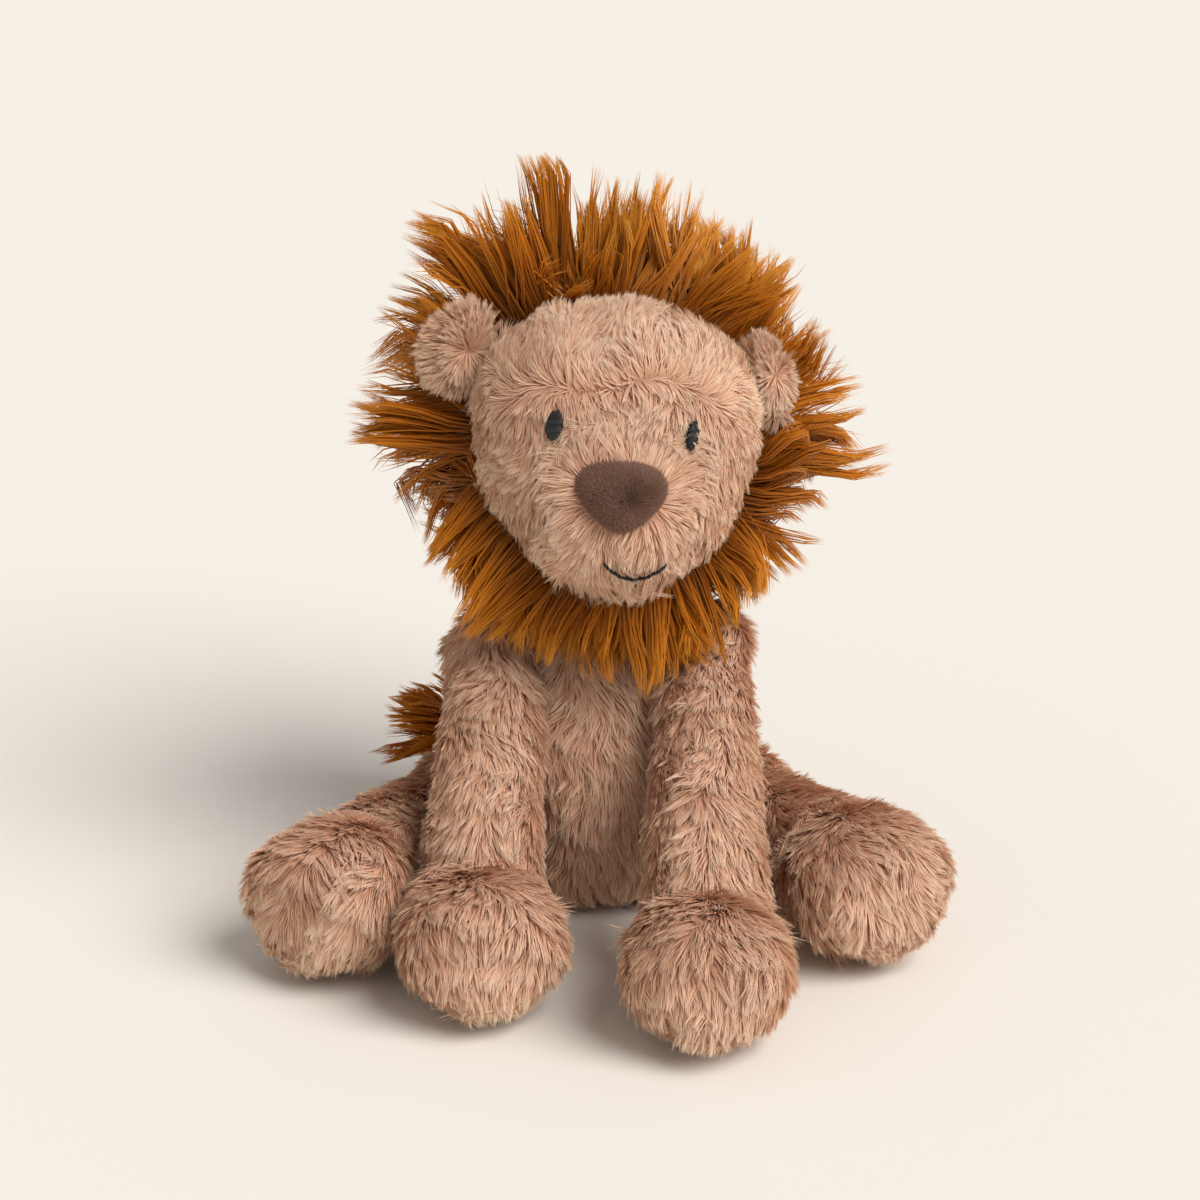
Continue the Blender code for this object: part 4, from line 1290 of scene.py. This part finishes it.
# %% Long strands
LONG_KNOTS = 5
TRESS_LOCKS = 7
TRESS_PINCH, LOCK_PINCH = 0.45, 0.75
BEND_WAVES, BEND_SHARES = (1.2, 3.4), (0.3, 1.3)
FACE_ON = (1, 2.2, 1)
MANE_TOP = 238.0


def locks(roots, starts, tips, rng, facing, size=20, spread=3.5, curl=15.0):
    """Strands from roots to tips, gathered in locks of about size strands, and those in tresses.

    Each is a quadratic curve whose middle control point lies ahead of the root along starts. A
    group's tips shift by about spread mm. It bends sideways by a sine of the way, up to about
    curl mm, mostly seen from the front, and its strands lean to its middle one.
    """
    count = len(roots)
    middle = roots + (tips - roots) * 0.45
    groups = []
    for many, amount in ((size * TRESS_LOCKS, 1.5 * spread), (size, spread)):
        centre = rng.permutation(count)[: max(1, count // many)]
        member = nearest(middle, middle[centre])
        shift = amount * rng.normal(size=(len(centre), 3))
        stretch = 1 + 0.03 * amount * np.clip(rng.normal(size=(len(centre), 1)), -2, 0.8)
        tips = roots + (tips - roots) * stretch[member] + shift[member]
        groups.append((member, centre))
    span = np.linalg.norm(tips - roots, axis=1, keepdims=True)
    share = np.linspace(0, 1, LONG_KNOTS)[None, :, None]
    bend = roots + unit(starts + 0.8 * unit(tips - roots)) * span * 0.5
    lines = (1 - share) ** 2 * roots[:, None] + 2 * share * (1 - share) * bend[:, None]
    lines = lines + share**2 * tips[:, None]
    for (member, centre), amount in zip(groups, (curl, 0.6 * curl)):
        across = unit(rng.normal(size=(len(centre), 3)) * FACE_ON)
        sideways = np.cross(unit(tips - roots), across[member])
        waves = rng.uniform(*BEND_WAVES, len(centre))[member][:, None, None]
        sizes = (amount * rng.uniform(*BEND_SHARES, len(centre)))[member][:, None, None]
        lines = lines + sideways[:, None] * np.sin(share * waves) * share * sizes
    lines = gathered(lines, *groups[0], TRESS_PINCH, 1.3)
    lines = gathered(lines, *groups[1], LOCK_PINCH * rng.uniform(0.7, 1.0, (count, 1, 1)), 1.1)
    lines[:, 1:] += 0.3 * rng.normal(size=(count, LONG_KNOTS - 1, 3)) * share[:, 1:]
    lines[..., 2] = np.clip(lines[..., 2], FLOOR_CLEAR + STRAND_RADIUS, MANE_TOP)
    lock = groups[1][0]
    tone = 0.5 + 0.18 * ripple(roots, rng, 40) + 0.16 * rng.normal(size=lock.max() + 1)[lock]
    tone = as_tone(tone + 0.09 * rng.normal(size=count))
    radii = STRAND_RADIUS * rng.uniform(0.8, 1.2, count)
    return tubes(lines, radii, (1.0, 1.0, 0.85, 0.6), tone, facing)


print("a long strand has", 3 * (LONG_KNOTS - 2) + 4, "faces")

# %% [markdown]
# ### The band under the mane
# Between the tresses one sees the dark knit that the long pile is rooted in. It is a shell a
# little above the head's skin, from the seam back to the pole behind.

# %% Mane band
MANE_RADIUS, MANE_DEPTH = 71.0, 54.0
MANE_AT = np.array([-2.0, 14.0, 2.0])
BAND_RINGS, BAND_COLUMNS = 40, 96
BAND_OUTER, BAND_INNER = 1.5, 2.4


def band_grid():
    """A thin shell over the head's back, from its back pole to the seam and back inside."""
    turn = (np.arange(BAND_COLUMNS) * 2 * np.pi / BAND_COLUMNS)[None]
    flat = np.stack([np.cos(turn), 0 * turn, np.sin(turn)], -1)
    seam = mane_front(flat) / SKULL[2]
    edge = np.arccos(np.clip(seam, -0.9, 0.9))
    lean = np.linspace(0, 1, BAND_RINGS)[:, None] * edge
    ways = np.stack([np.sin(lean) * np.cos(turn), np.cos(lean), np.sin(lean) * np.sin(turn)], -1)
    reach = head_reach(unit(ways))[..., None]
    outer, inner = unit(ways) * (reach - BAND_OUTER), unit(ways) * (reach - BAND_INNER)
    return from_head(np.concatenate([outer, inner[::-1]]))


band = dent(band_grid(), NECK, NECK_HOLLOW + 0.6, INTO_NECK)
band_faces = grid_faces(2 * BAND_RINGS - 2, BAND_COLUMNS)
band_piece = add_piece("mane_band", closed(band), band_faces, "head", [dark_backing])

# %% [markdown]
# ### The crown
# The crown's tips lie on a dome round the head's back. A root at the seam sends its strand out to
# the dome's rim, and one further back sends it further back. On top the pile is brushed up into a
# crest with a dip in its middle, and behind it hangs. Roots are sown behind the seam, clear of
# the ears and the neck, and more thickly on top. The crown is three pieces, left, right and back.

# %% Crown
seam_gap = local_skin[..., 1] - mane_front(local_skin)
angle = np.degrees(np.arctan2(local_skin[..., 2], np.abs(local_skin[..., 0])))
under_jaw = smoothstep(-14, -30, angle) * smoothstep(24, 14, local_skin[..., 1])
behind = smoothstep(-1.5, 0.5, seam_gap) * (1 - under_jaw)
behind *= 0.55 + 0.45 * smoothstep(40, 12, local_skin[..., 1])
on_top = smoothstep(14, 34, local_skin[..., 2]) * smoothstep(40, 30, local_skin[..., 1])
behind *= 1 + 0.9 * on_top * smoothstep(6, 16, local_skin[..., 1])
behind *= apart_from(head_skin, *[(ear[0], 7.5) for ear in EARS.values()], (NECK, 20.5))
rearward = smoothstep(24, 28, local_skin[..., 1])
beside = local_skin[..., 0]
CROWN_COUNT = 6100
CROWN_LOW, CROWN_HIGH = 108, 228
HEAD_BACK = 40
REACH_BEHIND, REACH_BETWEEN = 0.04, 0.13
HANG_IN_FRONT, HANG_BEHIND = 3, 15
FORWARD_STRAYS = 6
# Each crest's angle round the head from its left and width, in degrees, and its added reach.
MANE_CRESTS = ((130.0, 11.0, 0.13), (92.0, 7.0, -0.10), (72.0, 12.0, 0.03))


def on_mane(places, share):
    """Places pushed out to the mane's dome, a half ellipsoid, times a share.

    Each is divided by the root of (radius / R) squared plus (depth / D) squared, where a place
    ahead of the dome has no depth.
    """
    radius = np.hypot(places[:, 0], places[:, 2]) / MANE_RADIUS
    depth = np.maximum(places[:, 1], 0) / MANE_DEPTH
    grown = places * (share / np.maximum(np.hypot(radius, depth), 0.2))[:, None]
    return grown + MANE_AT


for name, share, seed in (
    ("left", smoothstep(-0.6, 0.6, beside) * (1 - rearward), 81),
    ("right", smoothstep(0.6, -0.6, beside) * (1 - rearward), 82),
    ("back", rearward, 83),
):
    rng = np.random.default_rng(seed)
    roots, normals = roots_on(head_skin, CROWN_COUNT, rng, behind * share)
    local = into_head(roots)
    turn = np.arctan2(local[:, 2], local[:, 0])
    seam_depth = mane_front(local)
    back = np.clip((local[:, 1] - seam_depth) / (HEAD_BACK - seam_depth), 0, 1)
    lean = back * np.pi / 2 + 0.10 * rng.normal(size=CROWN_COUNT)
    radial = np.stack([np.cos(turn), 0 * turn, np.sin(turn)], -1)
    tips = radial * (MANE_RADIUS * np.cos(lean))[:, None]
    tips[:, 1] = MANE_DEPTH * np.sin(lean)
    starts = unit(normals + radial @ HEAD_TURN.T)
    starts = unit(starts + 1.5 * back[:, None] * unit(tips) @ HEAD_TURN.T)
    upper = smoothstep(0.2, 0.8, radial[:, 2]) * smoothstep(0.85, 0.5, back)
    hang = HANG_IN_FRONT + HANG_BEHIND * smoothstep(0.1, 0.6, back)
    drape = (DOWN @ HEAD_TURN + 0.8 * radial) * (hang * (1 - 0.8 * upper))[:, None]
    reach = rng.uniform(0.92, 1.08, CROWN_COUNT) + REACH_BEHIND * back
    reach += REACH_BETWEEN * np.sin(np.pi * back)
    for crest_angle, crest_width, crest_rise in MANE_CRESTS:
        beside_crest = (np.degrees(turn) - crest_angle) / crest_width
        reach += crest_rise * np.exp(-(beside_crest**2)) * (1 - back)
    tips = on_mane(tips + drape, reach)
    tips[:, 1] -= FORWARD_STRAYS * (1 - back) * rng.random(CROWN_COUNT)
    tips = from_head(tips)
    lowest = CROWN_LOW + 6 * rng.random(CROWN_COUNT)
    tips[:, 2] = np.clip(tips[:, 2], lowest, CROWN_HIGH)
    outside = unit(starts + FORWARD * (1 - back)[:, None])
    strands = locks(roots, starts, tips, rng, outside)
    coat_piece(f"mane_crown_{name}", strands, "head", hair)
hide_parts("mane_crown")

# %% [markdown]
# ### The beard
# Under the jaw the same pile hangs over the chest. It spreads to the sides and comes forward in
# the middle, where the chin pushes it.

# %% Beard
BEARD_COUNT, BEARD_LENGTH = 5200, 28
rng = np.random.default_rng(84)
jaw = smoothstep(-1.5, 0.5, seam_gap) * under_jaw * apart_from(head_skin, (NECK, 20.0))
roots, normals = roots_on(head_skin, BEARD_COUNT, rng, jaw)
local = into_head(roots)
beside = np.clip(local[:, 0] / 42, -1, 1)
flow = np.stack([0.55 * beside, -0.28 * (1 - beside**2), -1.0 + 0.25 * np.abs(beside)], -1)
flow = unit(unit(flow) + 0.35 * normals @ HEAD_TURN + 0.10 * rng.normal(size=(BEARD_COUNT, 3)))
tips = roots + (flow * (BEARD_LENGTH * rng.uniform(0.8, 1.08, (BEARD_COUNT, 1)))) @ HEAD_TURN.T
starts = unit(normals + 0.6 * unit(tips - roots))
strands = locks(roots, starts, tips, rng, unit(starts + FORWARD), spread=3.0, curl=6.0)
beard = coat_piece("mane_beard_strands", strands, "head", hair)
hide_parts("mane_beard")

# %% [markdown]
# ## Tail tuft
# Long pile grows round the tail's end. It fans out from a place inside the tail to an ellipsoid,
# which is shifted outwards and up, as the tuft lies in the photograph.

# %% Tail tuft
rng = np.random.default_rng(85)
TUFT_COUNT = 2000
TUFT_AT = TAIL_ROOT + TAIL_WAY
TUFT_HALF = np.array([13.5, 11.5, 14.5])
TUFT_SHIFT = np.array([-4.0, 0, 2.0])
TUFT_ROOTS_FROM = TUFT_AT + np.array([3.0, -0.5, -0.5])
TUFT_OUTWARDS = np.array([-6.0, 0, 0])
near_end = smoothstep(9, 5, np.linalg.norm(tail_skin - TUFT_ROOTS_FROM, axis=-1))
roots, normals = roots_on(tail_skin, TUFT_COUNT, rng, near_end)
ways = normals + unit(roots - TUFT_AT + TUFT_OUTWARDS)
ways = unit(ways + 0.25 * rng.normal(size=(TUFT_COUNT, 3)))
tips = TUFT_AT + ways * TUFT_HALF * rng.uniform(0.85, 1.12, (TUFT_COUNT, 1)) + TUFT_SHIFT
starts = unit(normals + 0.4 * unit(tips - roots))
strands = locks(roots, starts, tips, rng, starts, size=14, spread=2.4, curl=5.0)
tuft = coat_piece("tail_tuft_strands", strands, "tail", hair)
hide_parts("tail_tuft")

# %% [markdown]
# ## Closing seam
# After stuffing, the back is closed by hand with ladder stitches, which pull in between the pile.
# Each is a short bar across the back's middle line, whose ends dip by the cube of the way.

# %% Closing seam
SEAM_STITCHES, SEAM_KNOTS = 13, 7
SEAM_LOW, SEAM_HIGH = 46.5, 78.5
STITCH_HALF, STITCH_PROUD, STITCH_DIP, STITCH_SLANT = 2.1, 0.9, 1.3, 0.5
spine = torso_skin[5:-5, COLUMNS // 4]
heights = np.linspace(SEAM_LOW, SEAM_HIGH, SEAM_STITCHES)
deep = np.interp(heights, spine[:, 2], spine[:, 1])
share = np.linspace(-1, 1, SEAM_KNOTS)
each = np.ones((SEAM_STITCHES, 1))
x = STITCH_HALF * share * each
y = deep[:, None] + STITCH_PROUD - STITCH_DIP * np.abs(share) ** 3
z = heights[:, None] + STITCH_SLANT * share
thick, tone = np.full(SEAM_STITCHES, THREAD), np.linspace(0.1, 0.9, SEAM_STITCHES)
lines = np.stack([x, y, z], -1)
strands = tubes(lines, thick, np.ones(SEAM_KNOTS - 1), tone, -FORWARD * each)
seam = coat_piece("closing_stitches", strands, "torso", floss)
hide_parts("closing_seam")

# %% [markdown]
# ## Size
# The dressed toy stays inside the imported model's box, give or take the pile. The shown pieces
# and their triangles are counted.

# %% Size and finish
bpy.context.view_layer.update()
shown = [item for item in bpy.data.objects if item.type == "MESH" and item.visible_get()]
counts = [sum(len(face.vertices) - 2 for face in item.data.polygons) for item in shown]
